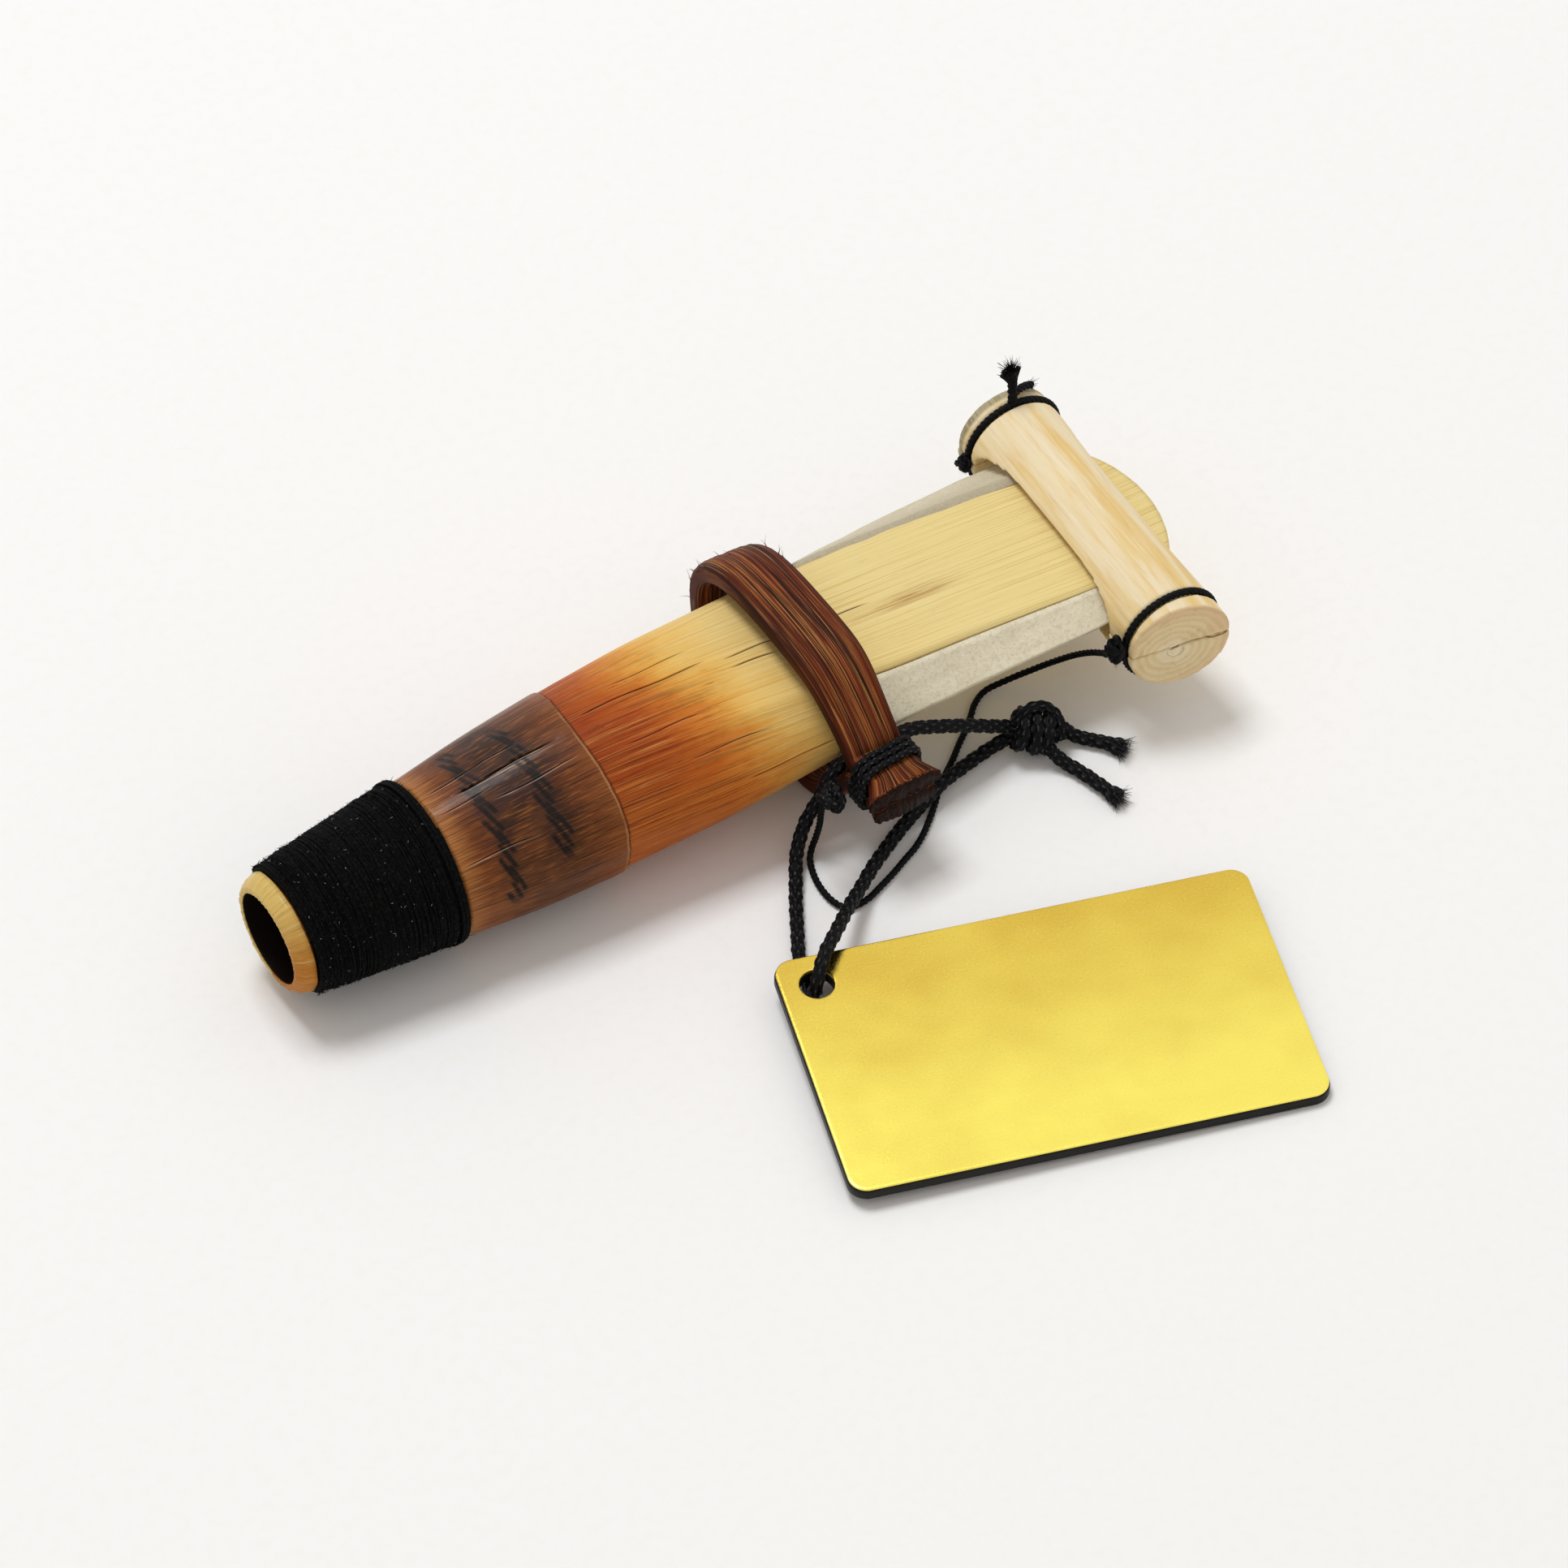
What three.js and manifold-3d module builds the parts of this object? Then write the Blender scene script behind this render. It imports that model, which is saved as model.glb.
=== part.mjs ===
// A double-reed mouthpiece for a duduk, as it is kept and sold: a flattened cane reed with a thread
// winding at its base, a bent-vine bridle tied round it, a split-stick cap tied over the blade, the
// thin cord that keeps the cap, and a braided cord that carries a swing tag. Millimetres, +Z up.
import * as THREE from "three";
import { mergeVertices } from "three/addons/utils/BufferGeometryUtils.js";
import Module from "manifold-3d";

const wasm = await Module();
wasm.setup();

// Driving dimensions of the reed
const reedLength = 115.4;
const bladeHalfWidth = 13.9;
const bodyHalfHeight = 10.65;
const boreRadius = 5.5;
const rimRadius = 7.25;
const rimLength = 2.05;
const rimEdgeShare = 0.3;
const barkEnd = 40.3;
const barkThickness = 0.25;
const tipArcRadius = 17;
const tipSlitHalfHeight = 0.4;
const reedPitchDegrees = 1.5;

// Thread winding on the base
const wrapLength = 18.25;
const wrapStartRadius = 7.75;
const wrapEndRadius = 9.8;
const threadDiameter = 0.5;
const threadTurns = 16;
const threadCoreWall = 0.4;
const threadBandLength = 0.9;

// Leather strips on the edges of the blade
const stripUnderBridle = 1.4;
const stripShortOfTip = 5.9;
const stripThickness = 0.45;

// Bridle
const bridleAt = 68.9;
const bridleWidth = 8.4;
const bridleThickness = 2.6;
const bridleLoopGap = 0.75;
const bridleEyeSlack = 1.55;
const bridleFlareLength = 4.5;
const bridleFlareDrop = 1.3;
const bridleTieDrop = 0.1;
const legRiseShare = 0.68;
const upperEndDropShare = 0.7;
const upperMiddleDropShare = 0.25;
const lowerMiddleDropShare = 0.35;
const loopStartShare = 0.66;
const loopEndShare = 0.65;
const bridleUndersideShare = 1.09;
const bridleTaperShare = 0.8;
const bridleTiedWidth = 6.9;
const bridleFlareWidth = 10;
const tieCordDiameter = 0.95;
const tieTurnPitch = 1.4;
const tieTurns = 2;
const bridleKnotSize = 3.8;

// Cap
const capBehindTip = 7.9;
const capRadius = 6;
const capNearPastBlade = 6;
const capFarPastBlade = 5.4;
const capNearGrooveInset = 2.4;
const capFarGrooveInset = 2.55;
const capGrooveDepth = 0.65;
const capGrooveWidth = 1.3;
const capSlotRoom = 0.9;
const capSlotShift = 0.65;
const capSlotSideExponent = 0.6;
const capSlotRiseExponent = 0.72;
const capYawDegrees = -2.5;
const capBelowAxis = 0.5;
const capNearFaceDegrees = 9;
const capKnotDepthShare = 0.75;
const capTieDiameter = 0.9;
const capKnotSize = 3.1;
const capWhittleDepth = 1.1;
const capPareDegrees = [20, 75, 130, 200, 250, 310];
const pareLeastShare = 0.6;
const pareStepShare = 0.2;
const pareOverlapShare = 0.15;
const capEndRound = 0.5;

// Swing tag
const tagWidth = 54.6;
const tagHeight = 32.9;
const tagCornerRadius = 2.2;
const tagCoreThickness = 1.3;
const tagFaceThickness = 0.35;
const tagHoleDiameter = 3.8;
const tagHoleFromSide = 4.2;
const tagHoleFromTop = 4.15;
const tagYawDegrees = -16.7;
const tagCornerLift = 2.2;

// Cords
const tagCordDiameter = 1.7;
const tetherDiameter = 0.8;
const tagKnotSize = 6.4;
const tagKnotTurnDegrees = 75;
const tagKnotLeanDegrees = 20;
const cordStepShare = 1.7;

// Shares that every knot has of its own size
const lobeRadiusShare = 0.62;
const lobeSwellShare = 0.12;
const lobeSpreadShare = 0.3;
const knotHeartShare = 0.8;
const knotLobeDegrees = 68;

// Clearances, overruns and facet counts
const gap = 0.3;
const glueGap = 0.06;
const overrun = 1;
const roundFacets = 36;
const cordFacets = 8;
const threadFacets = 6;
const threadStepsPerTurn = 24;

const radians = THREE.MathUtils.degToRad;
const pitch = radians(reedPitchDegrees);
const wrapEnd = rimLength + wrapLength;
const stripStart = bridleAt - stripUnderBridle;
const stripEnd = reedLength - stripShortOfTip;
const capAt = reedLength - capBehindTip;
const capNearReach = bladeHalfWidth + capNearPastBlade;
const capFarReach = bladeHalfWidth + capFarPastBlade;
const capNearGroove = capNearReach - capNearGrooveInset;
const capFarGroove = capFarReach - capFarGrooveInset;

// Outline of the reed along its length. Each row gives shares: place along the reed, half width of
// the blade, half height of the body, sideways lean of the blade, and how far the round section has
// turned into the flat-topped one of the blade.
const reedOutlineShares = [
  [0.0, 0.44, 0.575, 0.0, 0.0],
  [0.006, 0.49, 0.64, 0.0, 0.0],
  [0.0178, 0.5215, 0.681, 0.0, 0.0],
  [0.176, 0.672, 0.877, 0.0, 0.0],
  [0.258, 0.763, 0.958, 0.007, 0.0],
  [0.35, 0.816, 1.0, 0.022, 0.0],
  [0.458, 0.9, 0.885, 0.043, 0.1],
  [0.562, 0.945, 0.685, 0.058, 0.5],
  [0.657, 0.972, 0.5, 0.08, 1.0],
  [0.761, 0.986, 0.37, 0.079, 1.0],
  [0.873, 1.0, 0.25, 0.05, 1.0],
  [0.951, 0.98, 0.17, 0.036, 1.0],
  [1.0, 0.97, 0.12, 0.036, 1.0],
];

// The hollow inside: place along the reed, then half width and half height as shares of the
// blade's half width and the body's half height.
const hollowShares = [
  [0.176, 0.47, 0.61],
  [0.35, 0.62, 0.74],
  [0.562, 0.75, 0.47],
  [0.761, 0.74, 0.24],
  [0.9, 0.7, 0.1],
];

const flatTopShare = 0.69;
const easeReachShare = 0.02;
const cornerAngle = Math.atan(1 / flatTopShare);

function along(rows, place, column) {
  if (place <= rows[0][0]) return rows[0][column];
  for (let i = 1; i < rows.length; i += 1) {
    if (place <= rows[i][0]) {
      const span = rows[i][0] - rows[i - 1][0];
      const share = (place - rows[i - 1][0]) / span;
      return THREE.MathUtils.lerp(rows[i - 1][column], rows[i][column], share);
    }
  }
  return rows[rows.length - 1][column];
}

// A gentle average over the neighbouring stretch, so that the outline bends instead of kinking.
function smoothAlong(rows, place, column) {
  if (place < rows[3][0]) return along(rows, place, column);
  return (along(rows, place - easeReachShare, column) + along(rows, place, column)
    + along(rows, place + easeReachShare, column)) / 3;
}

function reedAt(x) {
  const place = x / reedLength;
  const scraped = x > barkEnd ? barkThickness : 0;
  return {
    halfWidth: bladeHalfWidth * smoothAlong(reedOutlineShares, place, 1) - scraped,
    halfHeight: bodyHalfHeight * smoothAlong(reedOutlineShares, place, 2) - scraped,
    lean: bladeHalfWidth * smoothAlong(reedOutlineShares, place, 3),
    blade: smoothAlong(reedOutlineShares, place, 4),
  };
}

// One point of the reed's section at a ray angle: an ellipse that turns into a flat top and base
// with two straight bevels meeting in an edge at each side.
function sectionPoint(size, angle) {
  const y = size.halfWidth * Math.cos(angle);
  const z = size.halfHeight * Math.sin(angle);
  const flat = size.halfHeight / Math.max(Math.abs(z), Number.EPSILON);
  const flatHalf = size.halfWidth * flatTopShare;
  const bevelRun = size.halfWidth - flatHalf;
  const bevel = size.halfWidth * size.halfHeight
    / (Math.abs(y) * size.halfHeight + Math.abs(z) * bevelRun);
  const scale = THREE.MathUtils.lerp(1, Math.min(flat, bevel), size.blade);
  return new THREE.Vector2(y * scale + size.lean, z * scale);
}

function sectionAngles(sideCount, topCount) {
  const angles = [];
  const sectors = [
    [-cornerAngle, cornerAngle, sideCount],
    [cornerAngle, Math.PI - cornerAngle, topCount],
    [Math.PI - cornerAngle, Math.PI + cornerAngle, sideCount],
    [Math.PI + cornerAngle, 2 * Math.PI - cornerAngle, topCount],
  ];
  for (const [from, to, count] of sectors) {
    for (let i = 0; i < count; i += 1) angles.push(THREE.MathUtils.lerp(from, to, i / count));
  }
  return angles;
}

// Closed body through a row of rings that have equal counts of points, with a fan over each end.
function loft(rings) {
  const count = rings[0].length;
  const positions = [];
  const index = [];
  for (const ring of rings) for (const p of ring) positions.push(p.x, p.y, p.z);
  for (let r = 0; r < rings.length - 1; r += 1) {
    for (let i = 0; i < count; i += 1) {
      const a = r * count + i;
      const b = r * count + (i + 1) % count;
      index.push(a, b, b + count, a, b + count, a + count);
    }
  }
  const ends = [
    [rings[0], 0, true],
    [rings.at(-1), (rings.length - 1) * count, false],
  ];
  for (const [ring, start, flip] of ends) {
    const middle = ring.reduce((sum, p) => sum.add(p), new THREE.Vector3()).divideScalar(count);
    const centre = positions.length / 3;
    positions.push(middle.x, middle.y, middle.z);
    for (let i = 0; i < count; i += 1) {
      const a = start + i;
      const b = start + (i + 1) % count;
      if (flip) index.push(centre, b, a);
      else index.push(centre, a, b);
    }
  }
  const geometry = new THREE.BufferGeometry();
  geometry.setAttribute("position", new THREE.Float32BufferAttribute(positions, 3));
  geometry.setIndex(index);
  return geometry;
}

// Closed body whose ends are any outline, such as the hollow C of a strip: quads between the ends.
function strapLoft(outer, inner) {
  const rings = outer.map((row, i) => [...row, ...inner[i].slice().reverse()]);
  const count = rings[0].length;
  const half = count / 2;
  const positions = [];
  const index = [];
  for (const ring of rings) for (const p of ring) positions.push(p.x, p.y, p.z);
  for (let r = 0; r < rings.length - 1; r += 1) {
    for (let i = 0; i < count; i += 1) {
      const a = r * count + i;
      const b = r * count + (i + 1) % count;
      index.push(a, b, b + count, a, b + count, a + count);
    }
  }
  const last = (rings.length - 1) * count;
  for (let i = 0; i < half - 1; i += 1) {
    const j = count - 1 - i;
    index.push(i, j, i + 1, i + 1, j, j - 1);
    index.push(last + i, last + i + 1, last + j, last + i + 1, last + j - 1, last + j);
  }
  const geometry = new THREE.BufferGeometry();
  geometry.setAttribute("position", new THREE.Float32BufferAttribute(positions, 3));
  geometry.setIndex(index);
  return geometry;
}

function solid(geometry) {
  const plain = geometry.clone();
  plain.deleteAttribute("normal");
  plain.deleteAttribute("uv");
  const merged = mergeVertices(plain);
  return new wasm.Manifold(new wasm.Mesh({
    numProp: 3,
    vertProperties: new Float32Array(merged.getAttribute("position").array),
    triVerts: new Uint32Array(merged.getIndex().array),
  }));
}

function geometryOf(manifold) {
  const mesh = manifold.getMesh();
  const geometry = new THREE.BufferGeometry();
  geometry.setAttribute("position", new THREE.Float32BufferAttribute(mesh.vertProperties, 3));
  geometry.setIndex(Array.from(mesh.triVerts));
  return geometry;
}

function cut(geometry, ...tools) {
  return geometryOf(tools.reduce((body, tool) => body.subtract(solid(tool)), solid(geometry)));
}

function common(geometry, other) {
  return geometryOf(solid(geometry).intersect(solid(other)));
}

function union(pieces) {
  return geometryOf(pieces.map(solid).reduce((a, b) => a.add(b)));
}

function regularOutline(radius, sides) {
  const points = [];
  for (let i = 0; i < sides; i += 1) {
    const angle = (2 * Math.PI * i) / sides;
    points.push(new THREE.Vector2(radius * Math.cos(angle), radius * Math.sin(angle)));
  }
  return new THREE.Shape(points);
}

function tube(curve, diameter, steps, sides = cordFacets) {
  return new THREE.ExtrudeGeometry(regularOutline(diameter / 2, sides), {
    steps,
    extrudePath: curve,
  });
}

// Tube through chosen points, with a step every cord or two of length
function cordAlong(route, diameter) {
  const points = route.map((p) => new THREE.Vector3(...p));
  const curve = new THREE.CatmullRomCurve3(points, false, "centripetal");
  const steps = Math.round(curve.getLength() / (cordStepShare * diameter));
  return tube(curve, diameter, steps);
}

// Reed: hollow cane
function reedRing(x, angles) {
  const size = reedAt(x);
  if (x > rimLength && x < wrapEnd) {
    size.halfWidth = seatRadius(x);
    size.halfHeight = size.halfWidth;
  }
  return angles.map((angle) => {
    const p = sectionPoint(size, angle);
    return new THREE.Vector3(x, p.x, p.y);
  });
}

function wrapRadius(x) {
  return THREE.MathUtils.mapLinear(x, rimLength, wrapEnd, wrapStartRadius, wrapEndRadius);
}

// The cane is shaved where the thread sits on it.
function seatRadius(x) {
  return wrapRadius(x) - threadDiameter - gap - threadCoreWall - gap;
}

function hollowRing(x, angles) {
  const place = Math.min(Math.max(x / reedLength, 0), 1);
  const size = { lean: reedAt(x).lean, blade: reedAt(x).blade };
  if (place < hollowShares[0][0]) {
    const share = place / hollowShares[0][0];
    size.halfWidth = THREE.MathUtils.lerp(boreRadius, bladeHalfWidth * hollowShares[0][1], share);
    size.halfHeight = THREE.MathUtils.lerp(boreRadius, bodyHalfHeight * hollowShares[0][2], share);
  } else {
    const toTip = THREE.MathUtils.smoothstep(place, hollowShares.at(-1)[0], 1);
    const rise = bodyHalfHeight * along(hollowShares, place, 2);
    size.halfWidth = bladeHalfWidth * along(hollowShares, place, 1);
    size.halfHeight = THREE.MathUtils.lerp(rise, tipSlitHalfHeight, toTip);
  }
  return angles.map((angle) => {
    const p = sectionPoint(size, angle);
    return new THREE.Vector3(x, p.x, p.y);
  });
}

function stations(from, to, spacing) {
  const count = Math.max(1, Math.round((to - from) / spacing));
  const places = [];
  for (let i = 0; i <= count; i += 1) places.push(THREE.MathUtils.lerp(from, to, i / count));
  return places;
}

function reedCane() {
  const step = glueGap;
  const bodySpacing = reedLength / 20;
  const angles = sectionAngles(12, 10);
  const places = [
    0, rimLength * rimEdgeShare, rimLength - step,
    ...stations(rimLength + step, wrapEnd - step, bodySpacing),
    ...stations(wrapEnd + step, barkEnd, bodySpacing),
    ...stations(barkEnd + step, reedLength, bodySpacing),
  ];
  const outer = loft(places.map((x) => reedRing(x, angles)));
  const hollowPlaces = [-overrun, ...stations(0, reedLength, bodySpacing), reedLength + overrun];
  const hollow = loft(hollowPlaces.map((x) => hollowRing(x, sectionAngles(8, 8))));

  // The tip is cut to a round front edge.
  const lean = reedAt(reedLength).lean;
  const reach = bladeHalfWidth + gap;
  const arcAngle = Math.asin(reach / tipArcRadius);
  const centreX = reedLength - tipArcRadius;
  const outline = new THREE.Shape();
  outline.moveTo(-overrun, -2 * bladeHalfWidth);
  outline.lineTo(centreX + tipArcRadius * Math.cos(arcAngle), -2 * bladeHalfWidth);
  outline.lineTo(centreX + tipArcRadius * Math.cos(arcAngle), lean - reach);
  outline.absarc(centreX, lean, tipArcRadius, -arcAngle, arcAngle, false);
  outline.lineTo(centreX + tipArcRadius * Math.cos(arcAngle), 2 * bladeHalfWidth);
  outline.lineTo(-overrun, 2 * bladeHalfWidth);
  outline.closePath();
  const front = new THREE.ExtrudeGeometry(outline, {
    depth: 4 * bodyHalfHeight, bevelEnabled: false, curveSegments: roundFacets / 2,
  });
  front.translate(0, 0, -2 * bodyHalfHeight);
  const cane = cut(outer, hollow, edgeStripBody(-1, gap), edgeStripBody(1, gap));
  return common(cane, front);
}

// Leather on one edge of the blade: it follows the section from the top corner round the edge to
// the lower corner, flush with the cane. A margin makes the seat that is cut for it.
function edgeStripBody(side, margin) {
  const count = 8;
  const spread = cornerAngle;
  const middle = side > 0 ? 0 : Math.PI;
  const outer = [];
  const inner = [];
  const depth = stripThickness + margin;
  for (const x of stations(stripStart - margin, stripEnd + margin, reedLength / 20)) {
    const size = reedAt(x);
    const points = [];
    for (let i = 0; i <= count; i += 1) {
      const angle = middle + THREE.MathUtils.lerp(-spread, spread, i / count);
      points.push(sectionPoint(size, angle));
    }
    const outerRow = [];
    const low = [];
    points.forEach((p, i) => {
      const before = points[Math.max(0, i - 1)];
      const after = points[Math.min(count, i + 1)];
      const run = after.clone().sub(before).normalize();
      const out = new THREE.Vector2(run.y, -run.x);
      const endShift = i === 0 ? -margin : (i === count ? margin : 0);
      const base = p.clone().addScaledVector(run, endShift);
      const proud = margin > 0 ? overrun : 0;
      const high = base.clone().addScaledVector(out, proud);
      outerRow.push(new THREE.Vector3(x, high.x, high.y));
      low.push(base.clone().addScaledVector(out, -depth));
    });
    // The inner face is two straight runs that meet inside the edge.
    const edge = points[count / 2];
    const slope = edge.clone().sub(points[count / 2 - 1]).normalize();
    const apex = new THREE.Vector2(edge.x - (side * depth) / Math.abs(slope.y), 0);
    const innerRow = low.map((p, i) => {
      const share = Math.abs(i - count / 2) / (count / 2);
      const end = i < count / 2 ? low[0] : low[count];
      const q = apex.clone().lerp(end, share);
      return new THREE.Vector3(x, q.x, q.y);
    });
    outer.push(outerRow);
    inner.push(innerRow);
  }
  return strapLoft(outer, inner);
}

// Thread: a sleeve of buried turns with a piled band at its end, and the outer turns over it
function ringAroundX(profile, facets) {
  const closed = [...profile, profile[0]].map(([x, radius]) => new THREE.Vector2(radius, x)).reverse();
  const ring = new THREE.LatheGeometry(closed, facets);
  ring.rotateZ(-Math.PI / 2);
  return ring;
}

function threadCore() {
  const start = rimLength + gap;
  const band = wrapEnd - gap - threadBandLength;
  const end = wrapEnd - gap;
  const low = threadDiameter + gap;
  return ringAroundX([
    [start, seatRadius(start) + gap],
    [end, seatRadius(end) + gap],
    [end, wrapEndRadius],
    [band, wrapEndRadius],
    [band, wrapRadius(band) - low],
    [start, wrapRadius(start) - low],
  ], roundFacets);
}

function threadTurnsCurve() {
  const start = rimLength + gap + threadDiameter;
  const end = wrapEnd - gap - threadBandLength - gap - threadDiameter / 2;
  const points = [];
  const steps = threadTurns * threadStepsPerTurn;
  for (let i = 0; i <= steps; i += 1) {
    const x = THREE.MathUtils.lerp(start, end, i / steps);
    const angle = (2 * Math.PI * i) / threadStepsPerTurn;
    const radius = wrapRadius(x) - threadDiameter / 2;
    points.push(new THREE.Vector3(x, radius * Math.cos(angle), radius * Math.sin(angle)));
  }
  return points;
}

// Tube of even rings set square to a row of points, closed at both ends
function windTube(points, diameter, sides, widthwise) {
  const rings = points.map((p, i) => {
    const before = points[Math.max(0, i - 1)];
    const after = points[Math.min(points.length - 1, i + 1)];
    const run = after.clone().sub(before).normalize();
    const across = widthwise(p, run);
    const up = new THREE.Vector3().crossVectors(run, across).normalize();
    const level = new THREE.Vector3().crossVectors(up, run);
    const ring = [];
    for (let s = 0; s < sides; s += 1) {
      const angle = (2 * Math.PI * s) / sides;
      ring.push(p.clone()
        .addScaledVector(level, (diameter / 2) * Math.cos(angle))
        .addScaledVector(up, (diameter / 2) * Math.sin(angle)));
    }
    return ring;
  });
  return loft(rings);
}

// Least gap between turns that are at least half a turn apart, measured on the points
function leastGap(points, diameter, stepsPerTurn) {
  let least = Infinity;
  for (let i = 0; i < points.length; i += 1) {
    for (let j = i + Math.floor(stepsPerTurn / 2); j < points.length; j += 1) {
      least = Math.min(least, points[i].distanceTo(points[j]));
    }
  }
  return least - diameter;
}

function threadWinding() {
  const points = threadTurnsCurve();
  const least = leastGap(points, threadDiameter, threadStepsPerTurn);
  console.log(`thread winding: least gap between turns ${least.toFixed(3)} mm`);
  return windTube(points, threadDiameter, threadFacets, () => new THREE.Vector3(1, 0, 0));
}

// Bridle: a split vine bent round the reed, its ends pinched by the tie and splayed beyond it.
// The reed lies on its belly, where the bark ends, and on the underside of the bridle.
const bellyRadius = reedAt(barkEnd).halfHeight;
const axisHeightAtBase = bellyRadius * Math.cos(pitch) - barkEnd * Math.sin(pitch);
const bridleAxisHeight = axisHeightAtBase / Math.cos(pitch) + bridleAt * Math.tan(pitch);
const bridleRiseToEdge = (bridleWidth / 2) * Math.tan(pitch);
const tieHalfSpan = (tieTurnPitch * tieTurns + tieCordDiameter) / 2 + gap;
const bladeNearEdge = reedAt(bridleAt).halfWidth - reedAt(bridleAt).lean;
const bridleTieReach = bladeNearEdge + tagCordDiameter + bridleEyeSlack + tieHalfSpan;

function bridlePath() {
  const size = reedAt(bridleAt);
  const half = bridleThickness / 2;
  const pinchEnd = -bridleTieReach + tieHalfSpan;
  const flareMiddle = -bridleTieReach - bridleFlareLength / 2;
  const flareEnd = -bridleTieReach - bridleFlareLength;
  const legRise = bridleThickness * legRiseShare;
  const across = size.halfWidth + bridleLoopGap + half;
  const high = size.halfHeight + bridleLoopGap + half;
  const low = bridleAxisHeight - bridleRiseToEdge - half;
  const roundness = 2 / 2.9;
  const loopPoint = (angle) => {
    const c = Math.cos(angle);
    const s = Math.sin(angle);
    const y = size.lean + across * Math.sign(c) * Math.abs(c) ** roundness;
    const reach = s > 0 ? high : low * bridleUndersideShare;
    const z = reach * Math.sign(s) * Math.abs(s) ** roundness;
    return new THREE.Vector3(0, y, Math.max(z, -low));
  };
  const tieHigh = -bridleTieDrop + half + gap / 2;
  const tieLow = -bridleTieDrop - half - gap / 2;
  const points = [
    new THREE.Vector3(0, flareEnd, tieHigh - bridleFlareDrop * upperEndDropShare),
    new THREE.Vector3(0, flareMiddle, tieHigh - bridleFlareDrop * upperMiddleDropShare),
    new THREE.Vector3(0, -bridleTieReach, tieHigh),
    new THREE.Vector3(0, pinchEnd, tieHigh + gap / 2),
    new THREE.Vector3(0, pinchEnd + half, tieHigh + legRise),
  ];
  const from = loopStartShare * Math.PI;
  const to = -loopEndShare * Math.PI;
  const count = 24;
  for (let i = 0; i <= count; i += 1) points.push(loopPoint(THREE.MathUtils.lerp(from, to, i / count)));
  points.push(
    new THREE.Vector3(0, pinchEnd + half, tieLow - legRise),
    new THREE.Vector3(0, pinchEnd, tieLow - gap / 2),
    new THREE.Vector3(0, -bridleTieReach, tieLow),
    new THREE.Vector3(0, flareMiddle, tieLow - bridleFlareDrop * lowerMiddleDropShare),
    new THREE.Vector3(0, flareEnd, tieLow - bridleFlareDrop),
  );
  return new THREE.CatmullRomCurve3(points, false, "centripetal");
}

// Section of the vine strip as shares of its width and thickness: flat inside, crowned outside
const vineSectionShares = [
  [-0.5, -0.38], [-0.44, -0.5], [0.44, -0.5], [0.5, -0.38],
  [0.5, 0.08], [0.44, 0.3], [0.3, 0.44], [0.1, 0.5],
  [-0.1, 0.5], [-0.3, 0.44], [-0.44, 0.3], [-0.5, 0.08],
];

function bridleBand() {
  const curve = bridlePath();
  const steps = 54;
  const size = reedAt(bridleAt);
  const rings = [];
  for (let i = 0; i <= steps; i += 1) {
    const share = i / steps;
    const p = curve.getPointAt(share);
    const run = curve.getTangentAt(share);
    const out = new THREE.Vector3(0, run.z, -run.y).normalize().negate();
    const beyond = Math.max(0, -bridleTieReach - tieHalfSpan - p.y) / (bridleFlareLength - tieHalfSpan);
    const within = Math.max(0, p.y + bridleTieReach - tieHalfSpan)
      / (bridleTieReach - size.halfWidth / 2);
    const wide = beyond > 0
      ? THREE.MathUtils.lerp(bridleTiedWidth, bridleFlareWidth, beyond)
      : THREE.MathUtils.lerp(bridleTiedWidth, bridleWidth, THREE.MathUtils.smoothstep(within, 0, 1));
    rings.push([...vineSectionShares].reverse().map(([w, t]) => {
      const q = p.clone().addScaledVector(out, t * bridleThickness);
      const x = w * wide;
      const there = reedAt(bridleAt + x);
      const top = (there.halfHeight + bridleLoopGap) / (size.halfHeight + bridleLoopGap);
      const rise = q.z > 0 && q.y > -bridleTieReach ? THREE.MathUtils.lerp(1, top, bridleTaperShare) : 1;
      return new THREE.Vector3(bridleAt + x, q.y, q.z * rise);
    }));
  }
  return loft(rings);
}

function bridleTiePoints() {
  const across = bridleTiedWidth / 2 + gap + tieCordDiameter / 2;
  const tall = bridleThickness + gap / 2 + gap + tieCordDiameter / 2;
  const steps = tieTurns * threadStepsPerTurn;
  const points = [];
  for (let i = 0; i <= steps; i += 1) {
    const angle = Math.PI + (2 * Math.PI * i) / threadStepsPerTurn;
    const c = Math.cos(angle);
    const s = Math.sin(angle);
    const squareness = 2 / 4.5;
    const y = -bridleTieReach + tieTurnPitch * (tieTurns / 2 - i / threadStepsPerTurn);
    points.push(new THREE.Vector3(
      bridleAt + across * Math.sign(c) * Math.abs(c) ** squareness,
      y,
      -bridleTieDrop + tall * Math.sign(s) * Math.abs(s) ** squareness,
    ));
  }
  return points;
}

function bridleTie() {
  const points = bridleTiePoints();
  const least = leastGap(points, tieCordDiameter, threadStepsPerTurn);
  console.log(`bridle tie: least gap between turns ${least.toFixed(3)} mm`);
  return windTube(points, tieCordDiameter, threadFacets, () => new THREE.Vector3(0, 1, 0));
}

// A pulled-tight knot: three lobes of cord lying over each other
function knot(size, cord) {
  const lobe = (size - cord) / 2;
  const lobes = [0, 1, 2].map((i) => {
    const tubeRadius = cord / 2 + lobe * lobeSwellShare;
    const ring = new THREE.TorusGeometry(lobe * lobeRadiusShare, tubeRadius, 6, 10);
    ring.rotateX(radians(knotLobeDegrees));
    ring.rotateZ((i * 2 * Math.PI) / 3);
    ring.translate(
      lobe * lobeSpreadShare * Math.cos((i * 2 * Math.PI) / 3),
      lobe * lobeSpreadShare * Math.sin((i * 2 * Math.PI) / 3),
      0,
    );
    return ring;
  });
  const heart = new THREE.SphereGeometry(lobe * knotHeartShare, 8, 6);
  return union([...lobes, heart]);
}

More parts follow.
